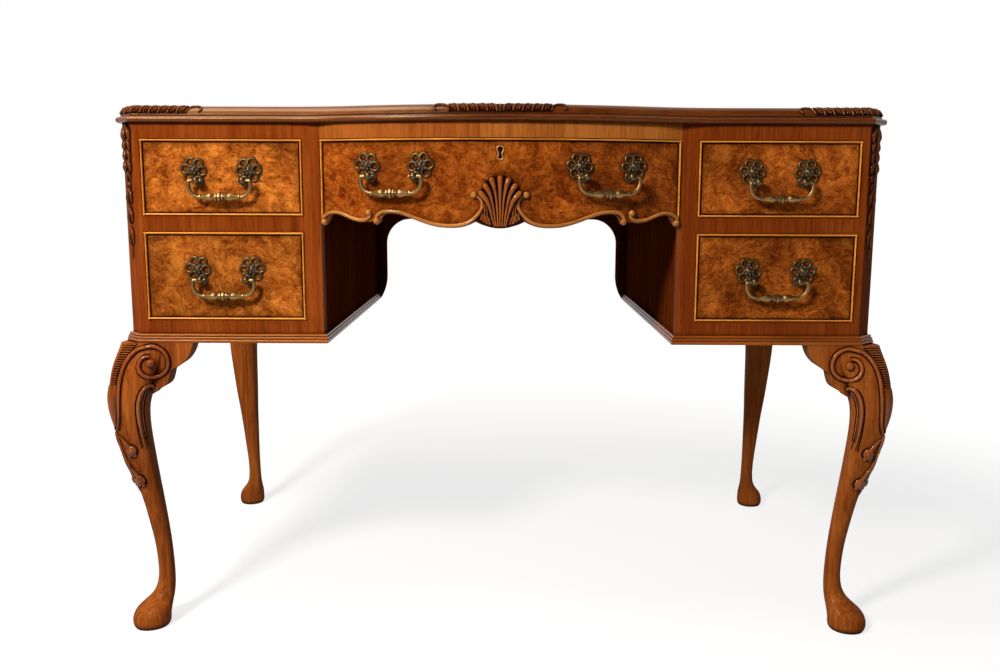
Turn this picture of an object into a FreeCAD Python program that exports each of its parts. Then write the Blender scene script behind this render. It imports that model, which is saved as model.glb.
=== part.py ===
import FreeCAD
import Part
import math
import os

# Walnut kneehole desk: two pedestals, a bowed centre drawer and four cabriole legs.
# Millimetres. Front faces -Y, +X is to the right, +Z up.
# It is drawn with the pedestal fronts on y = 0 and moved to the middle of its footprint at the end.

Vector = FreeCAD.Vector

# Heights, from the floor up
leg_height = 439.0
bottom_rail_height = 32.7
lower_opening_height = 127.4
divider_height = 22.1
upper_opening_height = 108.4
top_rail_height = 22.0
top_thickness = 23.0

# Widths, from the middle out
kneehole_width = 510.2
inner_stile_width = 24.7
opening_width = 230.0
outer_stile_width = 9.7
corner_cant = 21.0
cant_turn_deg = 45.0

# Depths
carcass_depth = 600.0
bow_rise = 52.0
frame_depth = 22.0
corner_post_depth = 34.0
centre_rail_depth = 45.0

# Boards
side_thickness = 18.0
back_thickness = 8.0
bottom_thickness = 15.0

# Top moulding, measured out from the carcass face and up from its underside
top_overhang = 8.0
top_back_overhang = 6.0
top_strip_width = 24.0
top_lip_height = 8.6
top_lip_root = 3.5
top_fillet_out = 1.5
top_fillet_height = 2.4
top_edge_setback = 10.0
# Hollow curve that eases the top's bow into its straight front
top_ease_radius = 300.0
ovolo_swell_share = 0.125

# Reeded base moulding
base_height = 12.6
base_projection = 8.0
base_profile_shares = ((0, 0), (0.86, 0), ((1.0, 0.2), (0.86, 0.4)), (0.7, 0.4), ((0.84, 0.55), (0.7, 0.7)),
                       (0.5, 0.7), ((0.6, 0.85), (0.4, 1.0)), (0, 1.0))

# Kneehole back arch
arch_thickness = 16.0
arch_setback = 4.0
arch_leg_width = 20.0
arch_foot_width = 6.0
arch_foot_height = 46.0
arch_head_depth = 149.6
arch_corner_radius = 50.0
arch_ease_share = 0.25

# Drawers
drawer_gap = 0.8
drawer_run_gap = 0.3
drawer_side_gap = 1.5
drawer_top_gap = 12.0
drawer_back_gap = 80.0
front_thickness = 20.0
centre_front_thickness = 22.0
lining_thickness = 10.0
drawer_bottom_thickness = 6.0
drawer_bottom_rise = 8.0
drawer_groove = 5.0
bead_thickness = 3.0
bead_proud = 2.0

# Runners
runner_ledge = 14.0
runner_thickness = 12.0
guide_height = 10.0
centre_runner_width = 15.0

# Centre drawer and its scrolled lower edge
centre_front_height = 122.6
centre_box_height = 80.0
apron_depth = 24.0
scroll_bead_width = 5.0
scroll_bead_proud = 2.5
# Lower edge from the drawer's end to the shell: (share of the half width, share of the apron depth)
apron_end_shares = ((1.0, 0.2), (0.986, 0.12), (0.967, 0.25), (0.958, 0.5), (0.93, 0.77), (0.877, 0.7),
                    (0.819, 0.41), (0.762, 0.27), (0.722, 0.32), (0.695, 0.37))
apron_main_shares = ((0.695, 0.37), (0.676, 0.22), (0.66, 0.33), (0.651, 0.57), (0.612, 0.83), (0.545, 0.78),
                     (0.479, 0.53), (0.407, 0.25), (0.336, 0.06), (0.27, 0.01), (0.205, 0.065), (0.162, 0.21),
                     (0.132, 0.37))
apron_shell_shares = ((0.132, 0.37), (0.075, 0.13), (0.0, 0.03))

# Carved shell
shell_height = 72.0
shell_half_width = 27.0
shell_foot_half_width = 31.0
shell_shoulder_rise = 11.0
# Right edge of the shell above its shoulder: (share of the half width, share of the height)
shell_waist_shares = (0.8, 0.4)
shell_flank_shares = (1.0, 0.62)
shell_crown_shares = (0.72, 0.88)
shell_relief = 9.0
shell_plate_relief = 4.0
shell_bedding = 3.0
shell_rib_count = 9
shell_rib_spread = 62.0
shell_rib_foot = 1.8
shell_rib_head = 4.6

# Lock
escutcheon_width = 9.0
escutcheon_height = 18.5
escutcheon_thickness = 1.8
escutcheon_proud = 0.6
escutcheon_drop = 19.6
keyhole_radius = 2.1
keyhole_slot_width = 2.4
keyhole_slot_length = 8.0
lock_width = 48.0
lock_height = 32.0
lock_depth = 12.0
lock_bedding = 1.0
bolt_width = 18.0
bolt_depth = 5.0
bolt_length = 14.0
bolt_travel = 7.0
bolt_clearance = 0.3
mortise_clearance = 1.0

# Handles: out is away from the drawer face
rosette_span = 78.0
rosette_rise = 10.5
rosette_lobes = 6
rosette_lobe_radius = 7.5
rosette_lobe_reach = 11.5
rosette_hub_radius = 9.5
rosette_pierce_radius = 4.2
rosette_thickness = 2.4
rosette_dome_radius = 8.0
rosette_dome_height = 4.0
rosette_dome_top_share = 0.5
post_inset = 6.5
post_drop = 15.0
post_reach = 14.0
post_collar_radius = 6.0
post_collar_height = 1.6
post_neck_radius = 3.6
post_head_radius = 5.6
post_shank_radius = 2.5
post_hole_clearance = 0.1
nut_width = 10.0
nut_sides = 6
nut_height = 4.0
shank_spare = 2.0
pin_radius = 2.4
pin_clearance = 0.06
pin_proud = 0.8
arm_gap = 1.6
bail_drop = 23.0
bail_radius = 2.8
bail_elbow_radius = 12.0
# Turned bar of the bail from its middle out: (share of the half length, share of the wire radius)
bar_turning_shares = ((0.0, 2.05), (0.05, 2.05), (0.075, 1.35), (0.12, 1.3), (0.14, 1.75), (0.21, 1.75),
                      (0.24, 1.0), (0.32, 1.1), (0.45, 1.65), (0.56, 1.7), (0.8, 1.25), (1.0, 1.0))
centre_handle_offset = 147.0
centre_handle_drop = 48.0

# Cabriole legs. Each row: share of the leg height, then outward reach beyond the carcass faces and
# inward reach behind them as shares of the leg stock, then how square the ridge corner is.
leg_stock = 87.0
leg_tenon_radius = 10.0
leg_tenon_inset = 44.0
front_leg_shares = ((0.0, 0.178, 0.397, 0.71), (0.01, 0.203, 0.423, 0.71), (0.032, 0.208, 0.431, 0.71),
                    (0.058, 0.158, 0.444, 0.71), (0.082, 0.035, 0.455, 0.71), (0.108, -0.098, 0.465, 0.71),
                    (0.145, -0.172, 0.47, 0.71), (0.205, -0.19, 0.466, 0.71), (0.29, -0.162, 0.446, 0.72),
                    (0.38, -0.1, 0.411, 0.74), (0.47, -0.025, 0.368, 0.77), (0.54, 0.056, 0.333, 0.8),
                    (0.63, 0.176, 0.299, 0.83), (0.695, 0.234, 0.276, 0.85), (0.75, 0.268, 0.27, 0.87),
                    (0.8, 0.282, 0.295, 0.89), (0.85, 0.272, 0.38, 0.91), (0.9, 0.238, 0.5, 0.92),
                    (0.95, 0.172, 0.63, 0.93), (1.0, 0.086, 0.713, 0.94))
rear_leg_shares = ((0.0, 0.14, 0.365, 0.71), (0.01, 0.165, 0.388, 0.71), (0.032, 0.172, 0.395, 0.71),
                   (0.058, 0.13, 0.395, 0.71), (0.082, 0.04, 0.39, 0.71), (0.108, -0.05, 0.38, 0.71),
                   (0.145, -0.09, 0.37, 0.71), (0.205, -0.085, 0.357, 0.71), (0.29, -0.035, 0.343, 0.72),
                   (0.38, 0.025, 0.332, 0.74), (0.47, 0.09, 0.32, 0.77), (0.54, 0.145, 0.315, 0.8),
                   (0.63, 0.21, 0.31, 0.83), (0.695, 0.255, 0.305, 0.85), (0.75, 0.285, 0.305, 0.87),
                   (0.8, 0.298, 0.325, 0.89), (0.85, 0.285, 0.4, 0.91), (0.9, 0.246, 0.5, 0.92),
                   (0.95, 0.178, 0.63, 0.93), (1.0, 0.086, 0.713, 0.94))
leg_flank_squareness_share = 0.8

# Ear brackets beside the front knees
ear_reach = 34.0
ear_width = 62.0
ear_height = 76.0
ear_proud = 7.0
ear_thickness = 30.0
# Lower edge from the tip to the scroll, then round the scroll: (share of the width, share of the height)
ear_edge_shares = ((1.0, 0.0), (0.924, 0.19), (0.8, 0.34), (0.576, 0.475), (0.44, 0.55))
ear_scroll_shares = ((0.44, 0.55), (0.4, 0.68), (0.32, 0.82), (0.106, 0.925), (0.0, 1.0))

# Carved drops on the canted corners
drop_relief = 6.0
drop_half_width = 8.5
drop_top_gap = 5.0
# Each ornament: top and bottom below the carcass top and half width, as shares of the drop's length
drop_length = 182.0
drop_leaf_shares = (0.0, 0.25, 1.0)
drop_flower_shares = (0.27, 0.38, 0.95)
drop_leaf_shoulder_share = 0.55
drop_husk_middle_share = 0.45
drop_husk_shares = ((0.4, 0.48, 0.7), (0.5, 0.58, 0.62), (0.6, 0.7, 0.56), (0.74, 0.86, 0.5),
                    (0.88, 1.0, 0.3))

# Width of a glue line in a mitre
glue_line = 0.05

# Cuts run past what they cut by this much
cut_overrun = 60.0
point_tolerance = 1e-6

# Planes worked out from the sizes above
carcass_base = leg_height
lower_sill = carcass_base + bottom_rail_height
lower_head = lower_sill + lower_opening_height
upper_sill = lower_head + divider_height
upper_head = upper_sill + upper_opening_height
carcass_top = upper_head + top_rail_height
desk_height = carcass_top + top_thickness
arch_top_height = carcass_top - arch_head_depth
kneehole_half = kneehole_width / 2
opening_inner = kneehole_half + inner_stile_width
opening_outer = opening_inner + opening_width
cant_start = opening_outer + outer_stile_width
carcass_half = cant_start + corner_cant
bow_radius = (kneehole_half ** 2 + bow_rise ** 2) / (2 * bow_rise)
bow_centre_y = bow_radius - bow_rise
top_ease_x = math.sqrt(bow_rise * (2 * (bow_radius + top_ease_radius) - bow_rise))
top_ease_turn = math.asin(top_ease_x / (bow_radius + top_ease_radius))
drawer_middle = (opening_inner + opening_outer) / 2
drawer_back = carcass_depth - drawer_back_gap
centre_half = kneehole_half - drawer_gap
centre_head = upper_head - drawer_gap
apron_foot = upper_head - centre_front_height
centre_box_head = upper_head - drawer_top_gap
centre_box_foot = centre_box_head - centre_box_height
bow_back_radius = bow_radius - centre_front_thickness


def box(x0, x1, y0, y1, z0, z1):
    """A board between two corners."""
    return Part.makeBox(x1 - x0, y1 - y0, z1 - z0, Vector(x0, y0, z0))


def outline_wire(place, outline):
    """A closed wire; a step that holds two points is an arc through the first to the second."""
    edges = []
    start = place(*outline[0])
    here = start
    for step in tuple(outline[1:]) + (outline[0],):
        if isinstance(step[0], tuple):
            middle, end = place(*step[0]), place(*step[1])
            edges.append(Part.Arc(here, middle, end).toShape())
        else:
            end = place(*step)
            if not end.isEqual(here, point_tolerance):
                edges.append(Part.makeLine(here, end))
        here = end
    return Part.Wire(edges)


def upright_plate(outline, y0, y1):
    """An outline in x and z, from y0 back to y1."""
    face = Part.Face(outline_wire(lambda x, z: Vector(x, y0, z), outline))
    return face.extrude(Vector(0, y1 - y0, 0))


def flat_plate(outline, z0, z1):
    """An outline in x and y, from z0 up to z1."""
    face = Part.Face(outline_wire(lambda x, y: Vector(x, y, z0), outline))
    return face.extrude(Vector(0, 0, z1 - z0))


def half_space(point, normal):
    """A block on the far side of a plane, for trimming."""
    reach = 4 * cut_overrun
    block = Part.makeBox(2 * reach, 2 * reach, reach, Vector(-reach, -reach, 0))
    block.Placement = FreeCAD.Placement(point, FreeCAD.Rotation(Vector(0, 0, 1), normal))
    return block


def mitre(before, after):
    """The normal of the mitre plane between two directions."""
    return (before + after).normalize()


def strip(start, end, outline, up, before, after):
    """A moulding from start to end, its outline measured out and up, mitred to its neighbours."""
    along = (end - start).normalize()
    out = along.cross(up)
    foot = start - along * cut_overrun
    profile = Part.Face(outline_wire(lambda o, h: foot + out * o + up * h, outline))
    length = (end - start).Length + 2 * cut_overrun
    inset = along * (glue_line / 2)
    solid = profile.extrude(along * length)
    solid = solid.cut(half_space(start + inset, mitre(before or along, along) * -1))
    return solid.cut(half_space(end - inset, mitre(along, after or along)))


def strip_run(points, outline, up, before=None, after=None, closed=False):
    """Mitred mouldings along a line of points, one solid for each stretch."""
    ends = points[1:] + points[:1] if closed else points[1:]
    ways = [(end - start).normalize() for start, end in zip(points, ends)]
    befores = [ways[-1] if closed else before] + ways[:-1]
    afters = ways[1:] + [ways[0] if closed else after]
    return [strip(start, end, outline, up, way_in, way_out)
            for start, end, way_in, way_out in zip(points, ends, befores, afters)]


def bow_ring(inner, outer, z0, z1, half):
    """A stretch of the bowed front between two radii, as wide as the kneehole or less."""
    centre = Vector(0, bow_centre_y, z0)
    ring = Part.makeCylinder(outer, z1 - z0, centre).cut(Part.makeCylinder(inner, z1 - z0, centre))
    return ring.common(box(-half, half, bow_centre_y - outer, bow_centre_y, z0, z1))


def mirrored(shape):
    """The same piece on the other side of the desk."""
    return shape.mirror(Vector(0, 0, 0), Vector(1, 0, 0))


def on_side(side, shape):
    """Pieces are drawn on the right; the left ones are their mirror images."""
    return shape if side == "right" else mirrored(shape)


def group(solids):
    """Several separate solids in one node."""
    return Part.makeCompound(solids)


# Carcass

def top_path():
    """Corners of the carcass outline under the left half of the top, from the back to the hollow curve."""
    corners = ((-carcass_half, carcass_depth), (-carcass_half, corner_cant), (-cant_start, 0), (-top_ease_x, 0))
    return [Vector(x, y, carcass_top) for x, y in corners]


def top_outline():
    """Section of the top's edge: lip, fillet and ovolo."""
    lip_middle = (top_overhang, top_lip_height / 2)
    fillet_top = top_lip_height + top_fillet_height
    ovolo_end = (-top_edge_setback, top_thickness)
    swell = (top_fillet_out + top_edge_setback) * ovolo_swell_share
    ovolo_middle = ((top_fillet_out - top_edge_setback) / 2 + swell, (fillet_top + top_thickness) / 2 + swell)
    return ((-top_strip_width, 0), (top_lip_root, 0), (lip_middle, (top_lip_root, top_lip_height)),
            (top_fillet_out, top_lip_height), (top_fillet_out, fillet_top), (ovolo_middle, ovolo_end),
            (-top_strip_width, top_thickness))


def curved_strip(outline, centre, radius, start, turn):
    """A stretch of moulding round a centre; a radius below zero puts the centre in front."""
    root = centre + Vector(0, -radius, 0)
    profile = Part.Face(outline_wire(lambda o, h: root + Vector(0, -o, h), outline))
    up = Vector(0, 0, 1)
    inset = glue_line / 2 / abs(radius)
    profile.rotate(centre, up, math.degrees(start + inset))
    return profile.revolve(centre, up, math.degrees(turn - 2 * inset))


def top_moulding():
    """Strips round the front and sides, with a bowed one between two hollow ones, and a plain back lipping."""
    outline = top_outline()
    left = strip_run(top_path(), outline, Vector(0, 0, 1))
    left.append(curved_strip(outline, Vector(-top_ease_x, -top_ease_radius, carcass_top), -top_ease_radius,
                             -top_ease_turn, top_ease_turn))
    right = [mirrored(solid) for solid in left]
    bow = curved_strip(outline, Vector(0, bow_centre_y, carcass_top), bow_radius, -top_ease_turn,
                       2 * top_ease_turn)
    return group(left + right + [bow, back_lipping()])


def back_lipping():
    """Plain strip behind the top board, between the side mouldings' ends."""
    half = carcass_half - top_strip_width
    return box(-half, half, carcass_depth - top_strip_width, carcass_depth + top_back_overhang, carcass_top,
               desk_height)


def top_board():
    """The panel inside the mouldings."""
    half = carcass_half - top_strip_width
    inset = top_strip_width
    cant_shift = inset * math.tan(math.radians(cant_turn_deg / 2))
    cant_x = cant_start - cant_shift
    cant_y = corner_cant + cant_shift
    back = carcass_depth - inset

    def hollow(side, turn):
        reach = top_ease_radius + inset
        return side * (top_ease_x - reach * math.sin(turn)), reach * math.cos(turn) - top_ease_radius

    apex = (0, inset - bow_rise)
    outline = ((half, back), (half, cant_y), (cant_x, inset), (top_ease_x, inset),
               (hollow(1, top_ease_turn / 2), hollow(1, top_ease_turn)), (apex, hollow(-1, top_ease_turn)),
               (hollow(-1, top_ease_turn / 2), (-top_ease_x, inset)), (-cant_x, inset), (-half, cant_y),
               (-half, back))
    return flat_plate(outline, carcass_top, desk_height)


def outer_side():
    return box(carcass_half - side_thickness, carcass_half, corner_post_depth, carcass_depth, carcass_base,
               carcass_top)


def inner_side():
    return box(kneehole_half, kneehole_half + side_thickness, frame_depth, carcass_depth, carcass_base,
               carcass_top)


def back_panel():
    return box(kneehole_half + side_thickness, carcass_half - side_thickness, carcass_depth - back_thickness,
               carcass_depth, carcass_base, carcass_top)


def leg_tenon(length):
    """Round tenon of the front leg, up from the carcass base."""
    return Part.makeCylinder(leg_tenon_radius, length,
                             Vector(carcass_half - leg_tenon_inset, leg_tenon_inset, carcass_base))


def to_back(shape):
    """The same piece at the back of the desk."""
    return shape.mirror(Vector(0, carcass_depth / 2, 0), Vector(0, 1, 0))


def bottom_board():
    """Pedestal bottom, bored for the two leg tenons and notched round the corner post."""
    board = box(kneehole_half + side_thickness, carcass_half - side_thickness, frame_depth,
                carcass_depth - back_thickness, carcass_base, carcass_base + bottom_thickness)
    board = board.cut(corner_post())
    bore = leg_tenon(bottom_thickness)
    return board.cut(bore).cut(to_back(bore))


def corner_post():
    """Canted post at the outer front corner."""
    outline = ((opening_outer, 0), (cant_start, 0), (carcass_half, corner_cant),
               (carcass_half, corner_post_depth), (opening_outer, corner_post_depth))
    return flat_plate(outline, carcass_base, carcass_top)


def front_frame():
    """Top rail, divider, bottom rail, inner stile and corner post of one pedestal."""
    rails = [box(opening_inner, opening_outer, 0, frame_depth, foot, head)
             for foot, head in ((carcass_base, lower_sill), (lower_head, upper_sill), (upper_head, carcass_top))]
    stile = box(kneehole_half, opening_inner, 0, frame_depth, carcass_base, carcass_top)
    return group(rails + [stile, corner_post()])


def centre_top_rail():
    """Bowed rail over the centre drawer, with the mortise that takes the lock bolt."""
    rail = bow_ring(bow_radius - centre_rail_depth, bow_radius, upper_head, carcass_top, kneehole_half)
    x0, x1, y0, y1, foot, head = bolt_place()
    mortise = box(x0 - mortise_clearance, x1 + mortise_clearance, y0 - mortise_clearance, y1 + mortise_clearance,
                  upper_head - mortise_clearance, head + bolt_travel + mortise_clearance)
    return rail.cut(mortise)


def arch_board():
    """Board behind the kneehole, cut to a round-cornered arch with out-turned feet."""
    back = carcass_depth - arch_setback
    board = box(-kneehole_half, kneehole_half, back - arch_thickness, back, carcass_base, carcass_top)
    leg_x = kneehole_half - arch_leg_width
    foot_x = kneehole_half - arch_foot_width
    spring = arch_top_height - arch_corner_radius
    bend = arch_corner_radius * math.sqrt(0.5)
    corner_x = leg_x - arch_corner_radius
    foot_top = carcass_base + arch_foot_height
    ease = (foot_x - leg_x) * arch_ease_share
    right = ((foot_x, carcass_base - cut_overrun), (foot_x, carcass_base),
             ((leg_x + ease, carcass_base + arch_foot_height / 2), (leg_x, foot_top)), (leg_x, spring),
             ((corner_x + bend, spring + bend), (corner_x, arch_top_height)))
    left = ((-corner_x, arch_top_height), ((-corner_x - bend, spring + bend), (-leg_x, spring)),
            (-leg_x, foot_top), ((-leg_x - ease, carcass_base + arch_foot_height / 2), (-foot_x, carcass_base)),
            (-foot_x, carcass_base - cut_overrun))
    return board.cut(upright_plate(right + left, back - arch_thickness - cut_overrun, back + cut_overrun))


def drawer_runners():
    """Ledges with guides for the pedestal drawers, and ledges for the centre drawer."""
    back = carcass_depth - back_thickness
    inner_face = kneehole_half + side_thickness
    outer_face = carcass_half - side_thickness
    runners = []
    for sill in (lower_sill, upper_sill):
        for wall, edge, ledge in ((inner_face, opening_inner, opening_inner + runner_ledge),
                                  (outer_face, opening_outer, opening_outer - runner_ledge)):
            x0, x1 = sorted((wall, ledge))
            shelf = box(x0, x1, corner_post_depth, back, sill - runner_thickness, sill)
            x0, x1 = sorted((wall, edge))
            guide = box(x0, x1, corner_post_depth, back, sill, sill + guide_height)
            runners.append(shelf.fuse(guide).removeSplitter())
    head = centre_box_foot - drawer_run_gap
    runners.append(box(kneehole_half - centre_runner_width, kneehole_half, centre_rail_depth + frame_depth,
                       drawer_back, head - runner_thickness, head))
    return group(runners + [mirrored(runner) for runner in runners])


def base_moulding():
    """Reeded strips round the kneehole side, front, canted corner and outer side of one pedestal."""
    arch_face = carcass_depth - arch_setback - arch_thickness
    corners = ((kneehole_half, arch_face), (kneehole_half, 0), (cant_start, 0), (carcass_half, corner_cant),
               (carcass_half, carcass_depth))
    path = [Vector(x, y, carcass_base) for x, y in corners]

    def sized(step):
        if isinstance(step[0], tuple):
            return tuple(sized(point) for point in step)
        return (step[0] * base_projection, step[1] * base_height)

    outline = tuple(sized(step) for step in base_profile_shares)
    return group(strip_run(path, outline, Vector(0, 0, 1)))


# Legs

def leg_section(row):
    """One closed section of a cabriole leg, rounded on its flanks and sharper on its ridge."""
    height, reach, depth, ridge = row
    outer = reach * leg_stock
    inner = depth * leg_stock
    middle = (inner - outer) / 2
    half = (inner + outer) / 2
    flank = min(ridge, leg_flank_squareness_share)
    corners = ((-1, -1, ridge), (1, -1, flank), (1, 1, flank), (-1, 1, flank))
    sides = ((0, -1), (1, 0), (0, 1), (-1, 0))
    points = []
    for (p, q, square), (mid_p, mid_q) in zip(corners, sides):
        points.append((middle + p * half * square, middle + q * half * square))
        points.append((middle + mid_p * half, middle + mid_q * half))
    curve = Part.BSplineCurve()
    curve.interpolate([Vector(carcass_half - p, q, height * leg_height) for p, q in points], PeriodicFlag=True)
    return Part.Wire(curve.toShape())


def front_leg():
    """Cabriole leg with a scrolled knee, tenoned into the pedestal bottom."""
    blade = Part.makeLoft([leg_section(row) for row in front_leg_shares], True, False)
    return blade.fuse(leg_tenon(bottom_thickness))


def rear_leg():
    """Plain cabriole leg."""
    blade = Part.makeLoft([leg_section(row) for row in rear_leg_shares], True, False)
    return to_back(blade.fuse(leg_tenon(bottom_thickness)))


def knee_ears():
    """Scrolled brackets that carry the knee's curve into the pedestal's front and side."""
    tip_x = carcass_half - front_leg_shares[-1][2] * leg_stock - ear_reach

    def spline(shares):
        points = [Vector(tip_x + (1 - out) * ear_width, -ear_proud, carcass_base - down * ear_height)
                  for out, down in shares]
        curve = Part.BSplineCurve()
        curve.interpolate(points)
        return curve

    edge, scroll = spline(ear_edge_shares), spline(ear_scroll_shares)
    corner = Vector(tip_x + ear_width, -ear_proud, carcass_base)
    outline = Part.Wire([edge.toShape(), scroll.toShape(), Part.makeLine(scroll.EndPoint, corner),
                         Part.makeLine(corner, edge.StartPoint)])
    ear = Part.Face(outline).extrude(Vector(0, ear_thickness, 0))
    other = ear.mirror(Vector(carcass_half, 0, 0), Vector(1, 1, 0))
    leg = front_leg()
    trimmed = [blank.cut(leg) for blank in (ear, other)]
    return group([max(shape.Solids, key=lambda solid: solid.Volume) for shape in trimmed])


# Carved drops

def corner_drop():
    """Leaf, flower and husks down the canted corner."""
    slope = math.sqrt(0.5)
    along = Vector(slope, slope, 0)
    out = Vector(slope, -slope, 0)
    head = Vector((cant_start + carcass_half) / 2, corner_cant / 2, carcass_top - drop_top_gap)

    def carved(outline):
        face = Part.Face(outline_wire(lambda s, down: head + along * s - Vector(0, 0, down), outline))
        return face.extrude(out * drop_relief)

    def husk(top_share, foot_share, width_share):
        top, foot = top_share * drop_length, foot_share * drop_length
        half = width_share * drop_half_width
        middle = top + (foot - top) * drop_husk_middle_share
        return carved(((0, top), (half, middle), (0, foot), (-half, middle)))

    top, foot, width = drop_leaf_shares
    half = width * drop_half_width
    length = (foot - top) * drop_length
    shoulder = length * drop_leaf_shoulder_share
    leaf = carved(((-half, 0), (half, 0), (half, shoulder), (0, length), (-half, shoulder)))
    top, foot, width = drop_flower_shares
    radius = (foot - top) * drop_length / 2
    centre = head - Vector(0, 0, (top + foot) / 2 * drop_length)
    flower = Part.makeCylinder(min(radius, width * drop_half_width), drop_relief, centre, out)
    return group([leaf, flower] + [husk(*shares) for shares in drop_husk_shares])


# Drawers

def bead_outline(depth):
    """Section of a cock bead: square at the back, with a rounded nose."""
    nose = bead_proud - bead_thickness / 2
    return ((0, -depth), (bead_thickness, -depth), (bead_thickness, nose),
            ((bead_thickness / 2, bead_proud), (0, nose)))


def flat_drawer(sill, head):
    """Front board, bead strips and box of a pedestal drawer, at x of the right pedestal."""
    x0, x1 = opening_inner + drawer_gap + bead_thickness, opening_outer - drawer_gap - bead_thickness
    z0, z1 = sill + drawer_gap + bead_thickness, head - drawer_gap - bead_thickness
    front = box(x0, x1, 0, front_thickness, z0, z1)
    corners = [Vector(x, 0, z) for x, z in ((x0, z0), (x1, z0), (x1, z1), (x0, z1))]
    beads = strip_run(corners, bead_outline(front_thickness), Vector(0, -1, 0), closed=True)
    lining = drawer_box(opening_inner + drawer_side_gap, opening_outer - drawer_side_gap, front_thickness,
                        sill + drawer_run_gap, head - drawer_top_gap)
    return front, beads, lining


def drawer_box(x0, x1, y0, z0, z1):
    """Two grooved sides, a back and a bottom."""
    y1 = drawer_back
    wall = lining_thickness
    floor = z0 + drawer_bottom_rise
    bottom = box(x0 + wall - drawer_groove, x1 - wall + drawer_groove, y0, y1, floor,
                 floor + drawer_bottom_thickness)
    sides = [box(x, x + wall, y0, y1, z0, z1).cut(bottom) for x in (x0, x1 - wall)]
    back = box(x0 + wall, x1 - wall, y1 - wall, y1, floor + drawer_bottom_thickness, z1)
    return sides + [back, bottom]


def apron_cutter():
    """Everything below the scrolled lower edge of the centre drawer."""
    def spline(shares, side):
        points = [Vector(side * x * centre_half, 0, apron_foot + z * apron_depth) for x, z in shares]
        curve = Part.BSplineCurve()
        curve.interpolate(points)
        return curve.toShape()

    end_x = centre_half + cut_overrun
    end_z = apron_foot + apron_end_shares[0][1] * apron_depth
    low = apron_foot - cut_overrun
    corners = [Vector(x, 0, z) for x, z in ((centre_half, end_z), (end_x, end_z), (end_x, low), (-end_x, low),
                                            (-end_x, end_z), (-centre_half, end_z))]
    edges = [Part.makeLine(a, b) for a, b in zip(corners, corners[1:])]
    for side in (1, -1):
        edges += [spline(shares, side) for shares in (apron_end_shares, apron_main_shares, apron_shell_shares)]
    outline = Part.Wire(Part.__sortEdges__(edges))
    face = Part.Face(outline)
    face.translate(Vector(0, -bow_rise - cut_overrun, 0))
    return face.extrude(Vector(0, bow_rise + 2 * cut_overrun, 0))


def centre_drawer():
    """Bowed front, its bead strips with the scrolled one, and its box."""
    half = centre_half - bead_thickness
    head = centre_head - bead_thickness
    cutter = apron_cutter()
    low = apron_foot - cut_overrun
    front = bow_ring(bow_back_radius, bow_radius, low, head, half).cut(cutter)
    nose = bow_radius + bead_proud
    top_bead = bow_ring(bow_back_radius, nose, head, centre_head, centre_half)
    upright = bow_ring(bow_back_radius, nose, low, head, centre_half)
    side_beads = upright.cut(box(-half, half, -bow_radius, bow_radius, low, head)).cut(cutter).Solids
    raised = bow_ring(bow_radius, bow_radius + scroll_bead_proud, low, head, half)
    lifted = cutter.translated(Vector(0, 0, scroll_bead_width))
    shell_gap = box(-shell_foot_half_width, shell_foot_half_width, -bow_radius, bow_radius, low, head)
    scrolls = raised.common(lifted).cut(cutter).cut(shell_gap).Solids
    disc = Part.makeCylinder(bow_back_radius, desk_height, Vector(0, bow_centre_y, 0))
    side = kneehole_half - drawer_side_gap
    parts = drawer_box(-side, side, -bow_rise, centre_box_foot, centre_box_head)
    lining = [part.common(disc) for part in parts]
    return front, [top_bead] + side_beads + scrolls, lining


def bow_point(x):
    """The place and heading on the bowed face, x from the middle."""
    turn = math.asin(x / bow_radius)
    return Vector(x, bow_centre_y - bow_radius * math.cos(turn), 0), math.degrees(turn)


def centre_shell():
    """Fan of tapering ribs on a plate, bedded in the drawer front."""
    face_y = -bow_rise
    foot = apron_foot
    shoulder = foot + shell_shoulder_rise
    fan = shell_height

    def edge(shares, side):
        return side * shares[0] * shell_half_width, foot + shares[1] * fan

    plate = ((0, foot), (shell_foot_half_width, shoulder), edge(shell_waist_shares, 1),
             edge(shell_flank_shares, 1), (edge(shell_crown_shares, 1), (0, foot + fan)),
             (edge(shell_crown_shares, -1), edge(shell_flank_shares, -1)), edge(shell_waist_shares, -1),
             (-shell_foot_half_width, shoulder))
    shell = upright_plate(plate, face_y - shell_plate_relief, face_y + shell_bedding)
    for index in range(shell_rib_count):
        lean = math.radians(shell_rib_spread * (2 * index / (shell_rib_count - 1) - 1) / 2)
        reach = fan - (fan - shell_half_width * 2) * abs(math.sin(lean)) - shell_rib_head

        def place(s, t, lean=lean):
            return s * math.cos(lean) + t * math.sin(lean), foot + t * math.cos(lean) - s * math.sin(lean)

        rib = (place(-shell_rib_foot, shell_rib_head), place(shell_rib_foot, shell_rib_head),
               place(shell_rib_head, reach), (place(0, reach + shell_rib_head), place(-shell_rib_head, reach)))
        shell = shell.fuse(upright_plate(rib, face_y - shell_relief, face_y))
    return shell.removeSplitter()


# Lock

def escutcheon_height_mid():
    return upper_head - escutcheon_drop


def keyhole(y0, y1):
    """Round hole with a slot below it."""
    z = escutcheon_height_mid()
    bore = Part.makeCylinder(keyhole_radius, y1 - y0, Vector(0, y0, z + keyhole_radius), Vector(0, 1, 0))
    slot = box(-keyhole_slot_width / 2, keyhole_slot_width / 2, y0, y1,
               z - keyhole_slot_length + keyhole_radius, z + keyhole_radius)
    return bore.fuse(slot)


def escutcheon_blank():
    """Round-ended plate let into the drawer front."""
    z = escutcheon_height_mid()
    half = escutcheon_width / 2
    end = escutcheon_height / 2 - half
    outline = ((half, z - end), (half, z + end), ((0, z + end + half), (-half, z + end)), (-half, z - end),
               ((0, z - end - half), (half, z - end)))
    outer = -bow_rise - escutcheon_proud
    return upright_plate(outline, outer, outer + escutcheon_thickness)


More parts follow.
